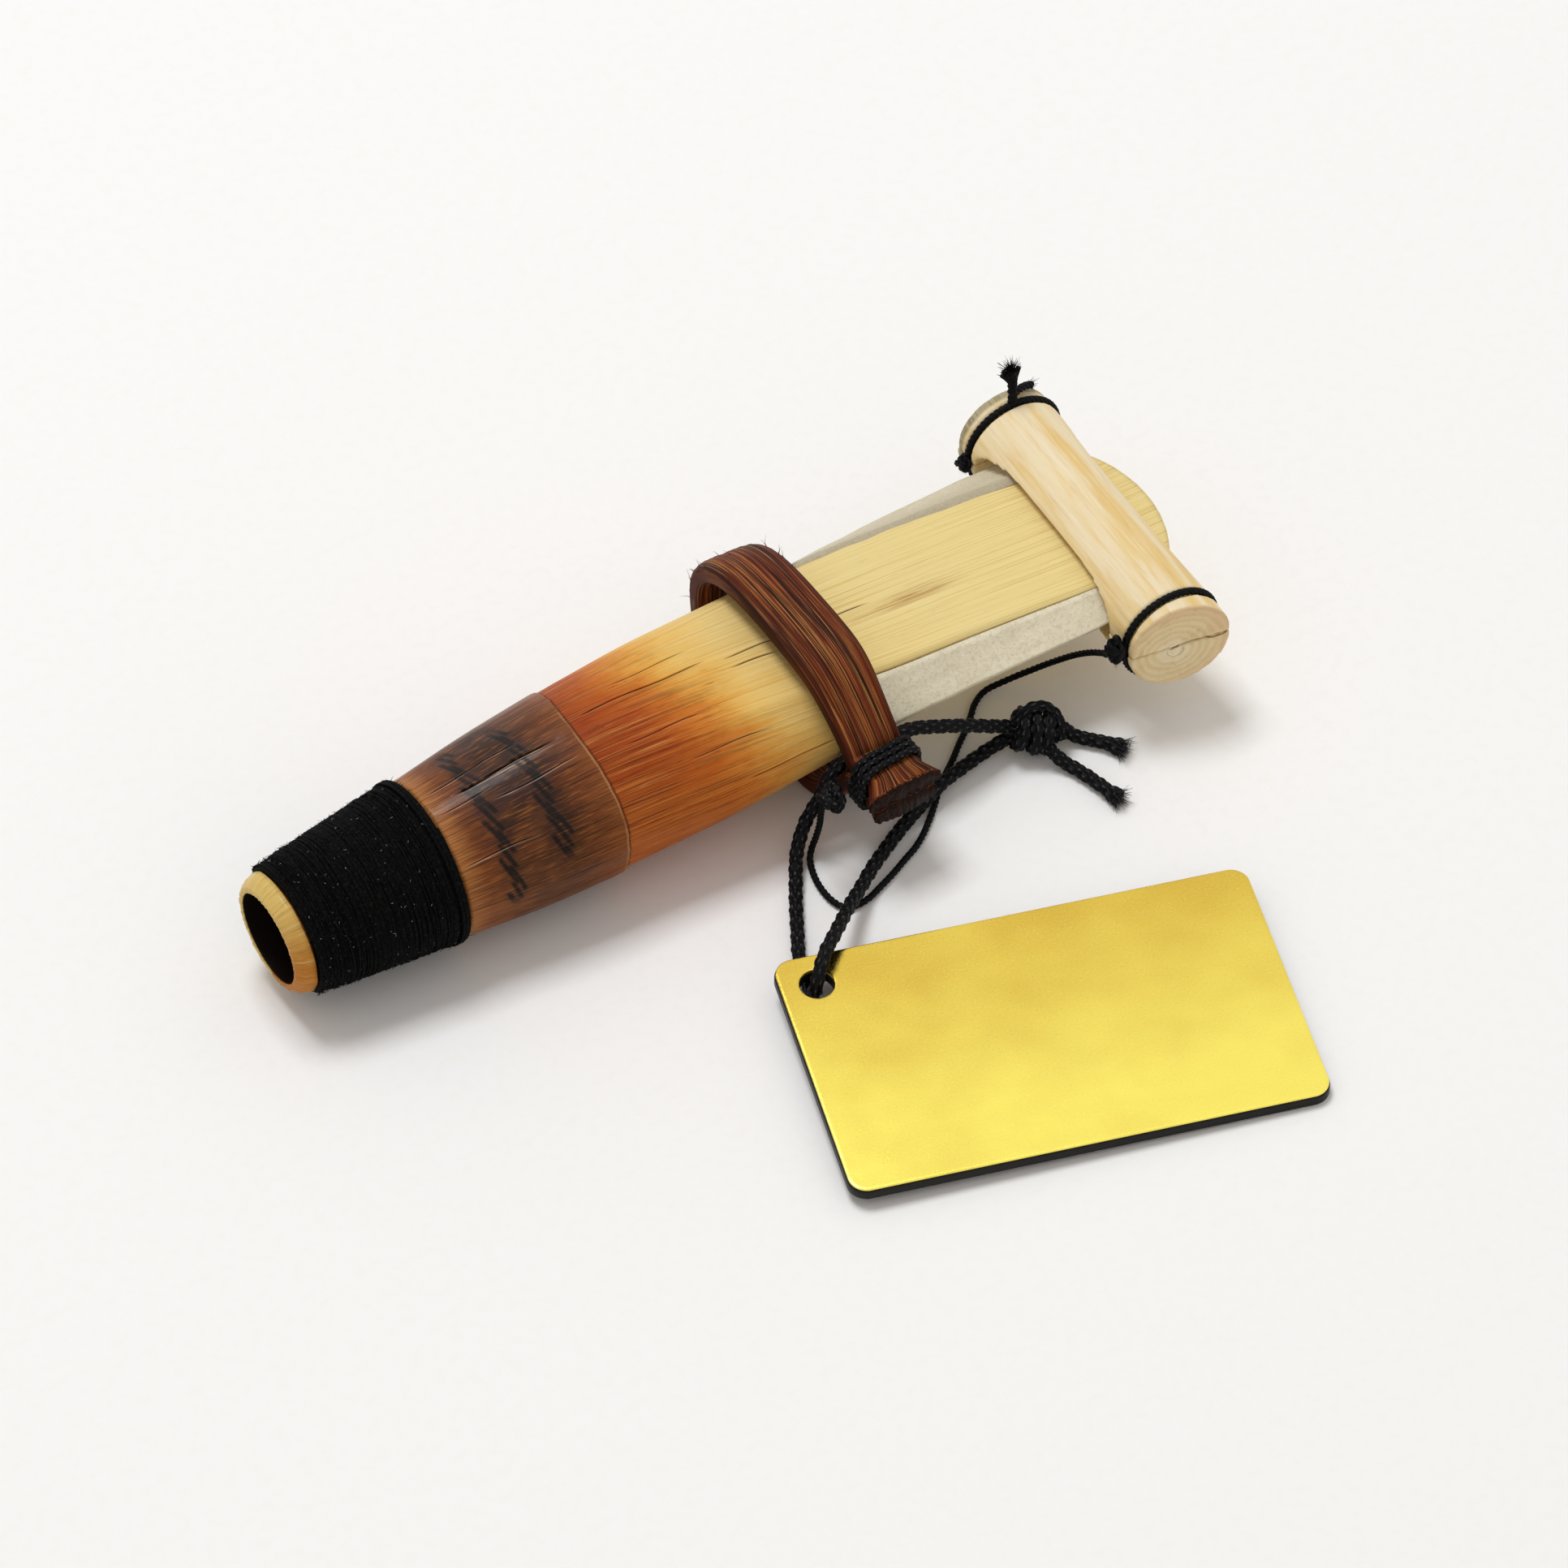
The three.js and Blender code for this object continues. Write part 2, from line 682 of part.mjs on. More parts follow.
// Cap: a stick split in two, hollowed where it closes on the blade and grooved for its ties
function capStick() {
  const round = capEndRound;
  const groove = (at, inner) => [
    [at - capGrooveWidth / 2, capRadius],
    [at - capGrooveWidth / 4, inner],
    [at + capGrooveWidth / 4, inner],
    [at + capGrooveWidth / 2, capRadius],
  ];
  const bottom = capRadius - capGrooveDepth;
  const profile = [
    [-capNearReach - overrun, 0],
    [-capNearReach - overrun, capRadius],
    ...groove(-capNearGroove, bottom),
    ...groove(capFarGroove, bottom),
    [capFarReach - round, capRadius],
    [capFarReach, capRadius - round],
    [capFarReach, 0],
  ].map(([y, radius]) => new THREE.Vector2(radius, y));
  return new THREE.LatheGeometry(profile, roundFacets);
}

function capSlot() {
  const outline = [];
  const count = 28;
  const halfWidth = bladeHalfWidth + capSlotRoom;
  const rise = reedAt(capAt - capRadius).halfHeight + capBelowAxis + capSlotRoom;
  for (let i = 0; i < count; i += 1) {
    const angle = (2 * Math.PI * i) / count;
    const c = Math.cos(angle);
    const s = Math.sin(angle);
    outline.push(new THREE.Vector2(
      capSlotShift + halfWidth * Math.sign(c) * Math.abs(c) ** capSlotSideExponent,
      rise * Math.sign(s) * Math.abs(s) ** capSlotRiseExponent,
    ));
  }
  const slot = new THREE.ExtrudeGeometry(new THREE.Shape(outline), {
    depth: 2 * capRadius + 2 * overrun, bevelEnabled: false,
  });
  slot.rotateX(Math.PI / 2);
  slot.rotateZ(Math.PI / 2);
  slot.translate(-capRadius - overrun, 0, 0);
  return slot;
}

function halfSpace(side) {
  const reach = 2 * Math.max(capNearReach, capFarReach);
  const box = new THREE.BoxGeometry(reach, 2 * reach, capRadius + overrun);
  box.translate(0, 0, side * ((capRadius + overrun) / 2 + gap / 2));
  return box;
}

// The far end is pared to flats, as a stick is when it is cut by hand.
function capPareCuts() {
  const reach = 3 * capRadius;
  const length = capFarReach - capFarGroove;
  return capPareDegrees.map((degrees, i) => {
    const box = new THREE.BoxGeometry(reach, reach, reach);
    const depth = capWhittleDepth * (pareLeastShare + pareStepShare * (i % 3));
    box.translate(0, 0, reach / 2 + capRadius - depth / 2);
    box.rotateX(-Math.atan(depth / length));
    box.translate(0, capFarGroove + length / 2 + reach / 2 - length * pareOverlapShare, 0);
    box.rotateY(radians(degrees));
    return box;
  });
}

// The near end is sawn off a little slanting, its tip side longer.
function capSlantCut() {
  const reach = 4 * capRadius;
  const box = new THREE.BoxGeometry(reach, reach, reach);
  box.translate(0, -reach / 2, 0);
  box.rotateZ(-radians(capNearFaceDegrees));
  box.translate(0, -capNearReach, 0);
  return box;
}

function capHalf(side) {
  const stick = cut(capStick(), capSlot(), capSlantCut(), ...capPareCuts());
  return common(stick, halfSpace(side));
}

function capTie(at) {
  const radius = capRadius - capGrooveDepth + gap + capTieDiameter / 2;
  const open = capKnotSize / 2 / radius;
  const points = [];
  const steps = threadStepsPerTurn;
  for (let i = 0; i <= steps; i += 1) {
    const angle = Math.PI + open + ((2 * Math.PI - 2 * open) * i) / steps;
    points.push(new THREE.Vector3(radius * Math.cos(angle), at, radius * Math.sin(angle)));
  }
  return windTube(points, capTieDiameter, threadFacets, () => new THREE.Vector3(0, 1, 0));
}

function capKnot() {
  return knot(capKnotSize, capTieDiameter);
}

const capKnotFromAxis = capRadius + gap + (capKnotSize / 2) * capKnotDepthShare;

// Swing tag
function tagPlate(thickness, lift) {
  const left = -tagHoleFromSide;
  const right = tagWidth - tagHoleFromSide;
  const top = tagHoleFromTop;
  const bottom = tagHoleFromTop - tagHeight;
  const r = tagCornerRadius;
  const outline = new THREE.Shape();
  outline.moveTo(left + r, bottom);
  outline.lineTo(right - r, bottom);
  outline.absarc(right - r, bottom + r, r, -Math.PI / 2, 0, false);
  outline.lineTo(right, top - r);
  outline.absarc(right - r, top - r, r, 0, Math.PI / 2, false);
  outline.lineTo(left + r, top);
  outline.absarc(left + r, top - r, r, Math.PI / 2, Math.PI, false);
  outline.lineTo(left, bottom + r);
  outline.absarc(left + r, bottom + r, r, Math.PI, 1.5 * Math.PI, false);
  const hole = new THREE.Path();
  hole.absarc(0, 0, tagHoleDiameter / 2, 0, 2 * Math.PI, true);
  outline.holes.push(hole);
  const plate = new THREE.ExtrudeGeometry(outline, {
    depth: thickness, bevelEnabled: false, curveSegments: roundFacets / 6,
  });
  plate.translate(0, 0, lift);
  return plate;
}

// Materials
const paint = (name, color, roughness, metalness = 0) =>
  new THREE.MeshStandardMaterial({ name, color, roughness, metalness });
const cane = () => paint("cane", 0xe0c271, 0.5);
const thread = () => paint("black thread", 0x141414, 0.9);
const leather = () => paint("pale leather", 0xb9b2a8, 0.85);
const vine = () => paint("bridle vine", 0x5a2c18, 0.6);
const capWood = () => paint("cap wood", 0xf2dfb4, 0.55);
const tagBlack = () => paint("tag core", 0x111111, 0.4);
const tagGold = () => paint("tag face", 0xd9b93c, 0.3, 0.85);

function mesh(name, geometry, material) {
  const piece = new THREE.Mesh(geometry, material);
  piece.name = name;
  return piece;
}

// Assembly: the reed lies on its belly and on the bridle, its tip slightly raised.
const reed = new THREE.Group();
reed.rotation.y = -pitch;
reed.position.z = axisHeightAtBase;
reed.add(
  mesh("reed_cane", reedCane(), cane()),
  mesh("thread_core", threadCore(), thread()),
  mesh("thread_winding", threadWinding(), thread()),
  mesh("edge_leather_near", edgeStripBody(-1, 0), leather()),
  mesh("edge_leather_far", edgeStripBody(1, 0), leather()),
  mesh("bridle_band", bridleBand(), vine()),
  mesh("bridle_tie", bridleTie(), thread()),
);

const bridleKnot = mesh("bridle_knot", knot(bridleKnotSize, tieCordDiameter), thread());
bridleKnot.position.set(
  bridleAt - bridleTiedWidth / 2 - gap - tieCordDiameter - gap - bridleKnotSize / 2,
  -bridleTieReach,
  gap,
);
reed.add(bridleKnot);

const cap = new THREE.Group();
cap.position.set(capAt, 0, -capBelowAxis);
cap.rotation.z = radians(capYawDegrees);
cap.add(
  mesh("cap_upper", capHalf(1), capWood()),
  mesh("cap_lower", capHalf(-1), capWood()),
  mesh("cap_tie_near", capTie(-capNearGroove), thread()),
  mesh("cap_tie_far", capTie(capFarGroove), thread()),
);
for (const [name, at] of [["cap_knot_near", -capNearGroove], ["cap_knot_far", capFarGroove]]) {
  const piece = mesh(name, capKnot(), thread());
  piece.position.set(-capKnotFromAxis, at, 0);
  piece.scale.x = capKnotDepthShare;
  cap.add(piece);
}

// The far tie's two ends, measured from the top of its ring: one stands up, one lies along the cap.
const capTailUpRoute = [[0.3, 0.25, 0.85], [0.4, 0.55, 1.75], [0.7, 0.85, 2.95], [0.6, 0.95, 4.35]];
const capTailSideRoute = [[0.2, 0.25, 0.85], [1.2, 0.75, 0.85], [2.4, 1.25, 0.45], [3.5, 1.55, -0.15]];
const capTails = mesh("cap_tie_tails", union([
  cordAlong(capTailUpRoute, capTieDiameter),
  cordAlong(capTailSideRoute, capTieDiameter),
]), thread());
capTails.position.set(0, capFarGroove, capRadius - capGrooveDepth + gap + capTieDiameter);
cap.add(capTails);
reed.add(cap);

// The tag leans on the cord under its holed corner and on the opposite corner.
const tagAt = new THREE.Vector3(49.4, -33.8, tagCornerLift);
const tag = new THREE.Group();
tag.position.copy(tagAt);
tag.rotation.z = radians(tagYawDegrees);
const tagLean = new THREE.Group();
const alongWidth = tagCornerLift / 2 / (tagWidth - tagHoleFromSide);
const alongHeight = tagCornerLift / 2 / (tagHeight - tagHoleFromTop);
tagLean.rotation.set(Math.asin(alongHeight), Math.asin(alongWidth), 0);
tagLean.add(
  mesh("tag_core", tagPlate(tagCoreThickness, 0), tagBlack()),
  mesh("tag_face", tagPlate(tagFaceThickness, tagCoreThickness + glueGap), tagGold()),
);
tag.add(tagLean);

const tagBox = new THREE.Box3().setFromObject(tag, true);
tag.position.z -= tagBox.min.z;

const stage = new THREE.Group();
stage.add(reed, tag);
stage.updateMatrixWorld(true);
const box = new THREE.Box3().setFromObject(stage, true);
stage.position.set(-(box.min.x + box.max.x) / 2, -(box.min.y + box.max.y) / 2, -box.min.z);

// Cords that lie free. Their routes are chosen points: along the reed from its base, across from its
// axis, and up from the table. The braided cord starts at its knot, runs through the eye between reed
// and bridle tie, under the corner of the tag, up through its hole and back to the knot.
const tagCordRoute = [
  [87.1, -13.9, 4.5], [85.6, -13.8, 5.3], [82.8, -13.9, 7.2], [78.5, -13.8, 9.6], [74.8, -13.5, 11.1],
  [71.6, -13.45, 11.45], [68.9, -13.45, 11.4], [66.2, -13.45, 11.1], [64.2, -13.65, 9.9],
  [62.6, -13.9, 7.6], [60.6, -13.9, 4.4], [58.7, -15.2, 2], [56.5, -18.4, 0.95], [54.7, -21.3, 0.9],
  [52.9, -24.4, 0.9], [51.4, -27, 0.9], [50.6, -28.9, 0.9], [50.1, -30.5, 0.9], [49.75, -31.7, 0.95],
  [49.5, -32.6, 1.2], [49.3, -33.4, 1.9], [49.2, -33.95, 2.9], [49.3, -34, 3.9], [49.8, -33.65, 4.9],
  [50.7, -32.9, 5.6], [51.9, -31.9, 5.95], [53.3, -30.9, 5.95], [55.5, -29.1, 5.4],
  [58.7, -26.2, 3.9], [61.4, -24, 2.7], [64.5, -21.7, 2.1], [67.4, -19.7, 1.3], [70.7, -17.8, 0.95],
  [73.9, -16.6, 1.4], [77.4, -15.6, 2.2], [81.3, -14.2, 1.4], [84.6, -13.4, 1.1], [87.1, -13.5, 1.7],
];
const tagKnotAt = [90.4, -15.1, 3];
const tagTailFrontRoute = [
  [90.7, -18.4, 2], [91.4, -19.5, 1.15], [92.2, -21.3, 0.9], [92.8, -23.4, 0.9], [93.3, -25.6, 0.9],
  [93.8, -27.8, 0.9],
];
const tagTailBackRoute = [
  [93.6, -15.9, 2.2], [94.5, -16.7, 1.2], [95.4, -17.6, 0.9], [96.5, -18.8, 0.9], [97.5, -20.1, 0.9],
  [98.5, -21.7, 0.9],
];

// The thin cord that keeps the cap, in two lengths that meet on the table
const tetherFromCapRoute = [
  [99.7, -15.4, 10.4], [99.6, -14.3, 9.6], [99.2, -12.8, 8.5], [98.4, -10.9, 6.8], [97, -8.8, 4.6],
  [95.2, -7, 2.6], [92.8, -5.7, 1.15], [90.1, -5.3, 0.55], [88.2, -6.2, 0.45], [86.7, -7.6, 0.45],
  [85.1, -9, 0.45], [83.3, -10.4, 0.45], [81.5, -11.9, 0.45], [79.9, -13.1, 0.45],
  [77.9, -14.7, 0.45], [76.3, -16.3, 0.45], [74.9, -17.6, 0.45],
];
const tetherFromBridleRoute = [
  [61.75, -16, 9.3], [61.6, -15.7, 7.4], [61.5, -15.5, 5.2], [61.2, -15.2, 3], [60.7, -15.1, 1.3],
  [60.1, -15.7, 0.55], [59.2, -17.9, 0.45], [58.8, -20.2, 0.45], [58.9, -22.3, 0.45],
  [59.5, -23.7, 0.45], [60.7, -24.2, 0.45], [62.4, -24.1, 0.45], [64.4, -23.4, 0.45],
  [66.7, -22.5, 0.45], [68.9, -21.5, 0.45], [70.9, -20.6, 0.45], [72.6, -19.5, 0.45],
  [74.2, -18.2, 0.45],
];

const cords = [
  ["tag_cord", tagCordRoute, tagCordDiameter],
  ["tag_cord_tail_front", tagTailFrontRoute, tagCordDiameter],
  ["tag_cord_tail_back", tagTailBackRoute, tagCordDiameter],
  ["tether_from_cap", tetherFromCapRoute, tetherDiameter],
  ["tether_from_bridle", tetherFromBridleRoute, tetherDiameter],
].map(([name, route, diameter]) => mesh(name, cordAlong(route, diameter), thread()));
const tagKnot = mesh("tag_cord_knot", knot(tagKnotSize, tagCordDiameter), thread());
tagKnot.position.set(...tagKnotAt);
tagKnot.rotation.set(radians(tagKnotTurnDegrees), radians(tagKnotLeanDegrees), 0);
stage.add(...cords, tagKnot);

const duduk_reed = new THREE.Group();
duduk_reed.add(stage);

export default duduk_reed;
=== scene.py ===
"""Looks of a duduk reed with its bridle, cap, cords and swing tag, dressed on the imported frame.

Shapes are worked out in millimetres in the frames that the part itself uses: the table frame, the
reed frame (x along the reed from its base, y across, z up from its axis), the cap frame and the tag
frame. They turn into metres when a piece is made.
"""

import math

import bmesh
import bpy
import numpy as np
from mathutils import Matrix, Vector


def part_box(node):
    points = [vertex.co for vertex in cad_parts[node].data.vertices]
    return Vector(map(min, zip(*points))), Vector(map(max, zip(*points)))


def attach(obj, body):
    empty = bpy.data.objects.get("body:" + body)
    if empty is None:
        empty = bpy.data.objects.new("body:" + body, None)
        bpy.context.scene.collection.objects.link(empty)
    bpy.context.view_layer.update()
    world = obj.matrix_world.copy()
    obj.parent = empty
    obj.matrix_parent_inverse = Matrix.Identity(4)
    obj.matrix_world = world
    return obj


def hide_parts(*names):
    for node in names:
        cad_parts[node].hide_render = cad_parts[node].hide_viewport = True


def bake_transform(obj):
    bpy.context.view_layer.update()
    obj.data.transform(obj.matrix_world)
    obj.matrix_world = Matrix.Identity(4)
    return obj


bl_info = {
    "name": "Duduk reed",
    "version": (1, 0, 0),
    "blender": (4, 5, 0),
    "location": "3D View > Sidebar > Duduk reed",
    "description": "Dresses the packed duduk reed: cane, thread, leather, bridle, cap, cords and tag",
    "category": "Object",
}

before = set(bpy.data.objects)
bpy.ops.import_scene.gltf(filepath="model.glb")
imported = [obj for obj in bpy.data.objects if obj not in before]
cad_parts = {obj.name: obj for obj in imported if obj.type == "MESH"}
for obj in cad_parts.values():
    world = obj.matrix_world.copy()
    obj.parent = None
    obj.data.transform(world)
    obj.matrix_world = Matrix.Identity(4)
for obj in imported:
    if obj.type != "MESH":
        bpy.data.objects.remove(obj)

MM = 0.001
TAU = 2 * math.pi
TABLE_SHIFT = Vector((-57.614, 27.885, 0.055))

# Reed, as in the part
REED_LENGTH = 115.4
BLADE_HALF_WIDTH = 13.9
BODY_HALF_HEIGHT = 10.65
BORE_RADIUS = 5.5
RIM_LENGTH = 2.05
BARK_END = 40.3
BARK_THICKNESS = 0.25
TIP_ARC_RADIUS = 17
TIP_SLIT_HALF_HEIGHT = 0.4
REED_PITCH = math.radians(1.5)
FLAT_TOP_SHARE = 0.69
CORNER_ANGLE = math.degrees(math.atan(1 / FLAT_TOP_SHARE))
WRAP_END = 20.3
WRAP_START_RADIUS = 7.75
WRAP_END_RADIUS = 9.8
SEAT_UNDER_WRAP = 1.5
STRIP_START = 67.5
STRIP_END = 109.5
NEAR_STRIP_TOP = 0.9
FAR_STRIP_LAP = 0.05

# Place along the reed, then half width, half height, lean and blade as shares
OUTLINE = np.array([
    [0, 0.44, 0.575, 0, 0], [0.006, 0.49, 0.64, 0, 0], [0.0178, 0.5215, 0.681, 0, 0],
    [0.176, 0.672, 0.877, 0, 0], [0.258, 0.763, 0.958, 0.007, 0], [0.35, 0.816, 1, 0.022, 0],
    [0.458, 0.9, 0.885, 0.043, 0.1], [0.562, 0.945, 0.685, 0.058, 0.5],
    [0.657, 0.972, 0.5, 0.08, 1], [0.761, 0.986, 0.37, 0.079, 1], [0.873, 1, 0.25, 0.05, 1],
    [0.951, 0.98, 0.17, 0.036, 1], [1, 0.97, 0.12, 0.036, 1],
])
OUTLINE_REACH = 0.02
HOLLOW = np.array([
    [0.176, 0.47, 0.61], [0.35, 0.62, 0.74], [0.562, 0.75, 0.47], [0.761, 0.74, 0.24],
    [0.9, 0.7, 0.1],
])

# Bridle, cap and tag, as in the part
BRIDLE_AT = 68.9
BRIDLE_WIDTH = 8.4
BRIDLE_TIED_WIDTH = 6.9
BRIDLE_FLARE_WIDTH = 10
BRIDLE_THICKNESS = 2.6
BRIDLE_GAP = 0.75
BRIDLE_FLARE = 4.5
BRIDLE_FLARE_DROP = 1.3
BRIDLE_TIE_DROP = 0.1
BRIDLE_LEG_RISE = 0.68
BRIDLE_TIE_SPAN = 2.175
BRIDLE_EYE_SLACK = 1.55
BRIDLE_KNOT_SIZE = 3.8
TIE_CORD = 0.95
CAP_AT = 107.5
CAP_BELOW_AXIS = 0.5
CAP_YAW = math.radians(-2.5)
CAP_RADIUS = 6
CAP_NEAR_GROOVE = -17.5
CAP_FAR_GROOVE = 16.75
CAP_GROOVE_DEPTH = 0.65
CAP_TIE = 0.9
CAP_KNOT_SIZE = 3.1
TAG_AT = (49.4, -33.8)
TAG_YAW = math.radians(-16.7)
TAG_WIDTH = 54.6
TAG_HEIGHT = 32.9
TAG_CORNER = 2.2
TAG_HOLE_RADIUS = 1.9
TAG_HOLE_FROM_SIDE = 4.2
TAG_HOLE_FROM_TOP = 4.15
TAG_LIFT = 2.2
TAG_CORE = 1.3
TAG_FACE = 0.35
TAG_CORD = 1.7
BRAID_STRANDS = 6
BRAID_STEP = 1.9
TIE_STRANDS = 4
TIE_STEP = 1.15
PLATE_BORDER = 0.3
TETHER = 0.8
GAP = 0.3
BRIDLE_SQUARENESS = 2.9
TIE_SQUARENESS = 4.5
TIE_RELIEF = 0.32

# Distances between the points of a line
FINE_SPACING = 0.12
CORD_SPACING = 0.14
RING_SPACING = 0.16
COARSE_SPACING = 0.2
ROUTE_SPACING = 0.4

# Cord routes in the table frame, as in the part
TAG_CORD_ROUTE = [
    (87.1, -13.9, 4.5), (85.6, -13.8, 5.3), (82.8, -13.9, 7.2), (78.5, -13.8, 9.6),
    (74.8, -13.5, 11.1), (71.6, -13.45, 11.45), (68.9, -13.45, 11.4), (66.2, -13.45, 11.1),
    (64.2, -13.65, 9.9), (62.6, -13.9, 7.6), (60.6, -13.9, 4.4), (58.7, -15.2, 2),
    (56.5, -18.4, 0.95), (54.7, -21.3, 0.9), (52.9, -24.4, 0.9), (51.4, -27, 0.9),
    (50.6, -28.9, 0.9), (50.1, -30.5, 0.9), (49.75, -31.7, 0.95), (49.5, -32.6, 1.2),
    (49.3, -33.4, 1.9), (49.2, -33.95, 2.9), (49.3, -34, 3.9), (49.8, -33.65, 4.9),
    (50.7, -32.9, 5.6), (51.9, -31.9, 5.95), (53.3, -30.9, 5.95), (55.5, -29.1, 5.4),
    (58.7, -26.2, 3.9), (61.4, -24, 2.7), (64.5, -21.7, 2.1), (67.4, -19.7, 1.3),
    (70.7, -17.8, 0.95), (73.9, -16.6, 1.4), (77.4, -15.6, 2.2), (81.3, -14.2, 1.4),
    (84.6, -13.4, 1.1), (87.1, -13.5, 1.7),
]
TAG_KNOT_AT = (90.4, -15.1, 3)
# Wraps of the tag cord's knot: place along it, radius and tilt
TAG_KNOT_WRAPS = ((-1.75, 1.9, 0.12), (-0.2, 2.15, -0.1), (1.4, 2.05, 0.2))
TAG_KNOT_OVER = [
    (-2.3, -0.6, 0.9), (-1.4, 0.4, 2.6), (0.6, 1.0, 2.75), (2.3, 0.2, 1.7), (2.8, -0.8, -0.3),
]
TAG_KNOT_HEART = [(-2.6, 0, 0), (-1, 0.2, 0.2), (1, 0, -0.2), (2.6, 0, 0)]
TAG_KNOT_HEART_SIZE = 2.6
TAIL_FRAY = 0.9
TAIL_FRONT_ROUTE = [
    (90.7, -18.4, 2), (91.4, -19.5, 1.15), (92.2, -21.3, 0.9), (92.8, -23.4, 0.9),
    (93.3, -25.6, 0.9), (93.8, -27.8, 0.9),
]
TAIL_BACK_ROUTE = [
    (93.6, -15.9, 2.2), (94.5, -16.7, 1.2), (95.4, -17.6, 0.9), (96.5, -18.8, 0.9),
    (97.5, -20.1, 0.9), (98.5, -21.7, 0.9),
]
TETHER_FROM_CAP_ROUTE = [
    (99.7, -15.4, 10.4), (99.6, -14.3, 9.6), (99.2, -12.8, 8.5), (98.4, -10.9, 6.8), (97, -8.8, 4.6),
    (95.2, -7, 2.6), (92.8, -5.7, 1.15), (90.1, -5.3, 0.55), (88.2, -6.2, 0.45), (86.7, -7.6, 0.45),
    (85.1, -9, 0.45), (83.3, -10.4, 0.45), (81.5, -11.9, 0.45), (79.9, -13.1, 0.45),
    (77.9, -14.7, 0.45), (76.3, -16.3, 0.45), (74.9, -17.6, 0.45),
]
TETHER_FROM_BRIDLE_ROUTE = [
    (61.75, -16, 9.3), (61.6, -15.7, 7.4), (61.5, -15.5, 5.2), (61.2, -15.2, 3), (60.7, -15.1, 1.3),
    (60.1, -15.7, 0.55), (59.2, -17.9, 0.45), (58.8, -20.2, 0.45), (58.9, -22.3, 0.45),
    (59.5, -23.7, 0.45), (60.7, -24.2, 0.45), (62.4, -24.1, 0.45), (64.4, -23.4, 0.45),
    (66.7, -22.5, 0.45), (68.9, -21.5, 0.45), (70.9, -20.6, 0.45), (72.6, -19.5, 0.45),
    (74.2, -18.2, 0.45),
]
# Cap tails, measured in the cap frame from the top of the far tie's ring
CAP_TAIL_UP = [(0.3, 0.25, 0.85), (0.4, 0.55, 1.75), (0.7, 0.85, 2.95), (0.6, 0.95, 4.35)]
CAP_TAIL_SIDE = [(0.2, 0.25, 0.85), (1.2, 0.75, 0.85), (2.4, 1.25, 0.45), (3.5, 1.55, -0.15)]
CAP_TAIL_STRANDS = 7
CAP_TAIL_STRAND_SIZE = 0.55
CAP_TIE_LIFT = 0.12

# Splits in the cane: start and end along the reed, turn from its top in degrees towards the near
# side, half width in degrees and depth
SPLITS = [
    (23.5, 37.3, 6, 0.62, 0.3), (20.6, 31, 53, 0.4, 0.1), (20.8, 28, 14, 0.35, 0.07),
    (27, 38.5, 22, 0.35, 0.08), (20.8, 34, -5, 0.4, 0.1), (40.6, 58, -1.5, 0.42, 0.14),
    (55, 67, 77, 0.55, 0.22), (59, 79.5, 0.5, 0.4, 0.12), (59, 67, 8, 0.4, 0.12),
    (43, 54, 27, 0.35, 0.07), (46, 57, -13, 0.35, 0.06), (49, 60, 49, 0.35, 0.07),
]
SPLIT_WOBBLE = 0.6
SPLIT_WAVE = 0.55
SPLIT_START_RUN = 2
SPLIT_END_RUN = 3

# Rings burnt into the bark: place, and the turns between which they show; shifts of their strokes
BURNT_RINGS = ((25.9, -40.0, 100.0), (32.4, -30.0, 82.0))
BURNT_RING_FADE = 12
STROKE_SHIFTS = (0.0, 0.37, 0.7)

# Degrees in a radian
RADIAN = 57.2958

# Patterns of the cane: scale along and around, seed, detail and roughness
CANE_STREAK = (0.045, 0.33, 1.0, 6.0, 0.62)
CANE_FINE = (0.1, 0.9, 5.0, 4.0, 0.66)
CANE_CLOUD = (0.16, 0.035, 9.0, 4.0, 0.55)
CANE_FLECK = (0.9, 0.9, 13.0, 3.0, 0.6)
CANE_DASH = (0.35, 0.7, 17.0, 3.0, 0.55)
CANE_GRAIN = (0.022, 1.15, 25.0, 4.0, 0.65)

# Stage
CAMERA_RIGHT = Vector((0.84396, -0.53633, -0.00905))
CAMERA_UP = Vector((0.40668, 0.62876, 0.66277))
SENSOR_WIDTH = 36
FLOOR_REACH = 6
KEY_AWAY = Vector((-0.04, 0.33, 0.94))
KEY_DISTANCE = 1.6
KEY_SIZE = (0.6, 0.5)
KEY_TINT = (0.96, 0.98, 1)
SKY_TINT = (1, 0.95, 0.9)
WHITE = (1, 1, 1)


# Shapes

def smooth_noise(u, v, seed):
    """Smooth random values from -1 to 1, new at each whole step of u or v."""
    table = np.random.default_rng(seed).uniform(-1, 1, (97, 97))
    iu, iv = np.floor(u).astype(int), np.floor(v).astype(int)
    fu, fv = u - iu, v - iv
    fu, fv = fu * fu * (3 - 2 * fu), fv * fv * (3 - 2 * fv)
    low = table[iu % 97, iv % 97] * (1 - fu) + table[(iu + 1) % 97, iv % 97] * fu
    high = table[iu % 97, (iv + 1) % 97] * (1 - fu) + table[(iu + 1) % 97, (iv + 1) % 97] * fu
    return low * (1 - fv) + high * fv


def smoothstep(value, low, high):
    """0 below low, 1 above high and a smooth turn between them."""
    share = np.clip((value - low) / (high - low), 0, 1)
    return share * share * (3 - 2 * share)


def unit(vectors):
    return vectors / np.maximum(np.linalg.norm(vectors, axis=-1, keepdims=True), 1e-12)


def as_points(x, y, z):
    """Points from three coordinates, each repeated to fit the others."""
    return np.stack(np.broadcast_arrays(x, y, z), -1)


def bowed(value, power):
    """A value raised to a power with its sign kept."""
    return np.sign(value) * np.abs(value) ** power


def lengths_along(path):
    """How far along a path each of its points is."""
    return np.concatenate([[0], np.cumsum(np.linalg.norm(np.diff(path, axis=0), axis=1))])


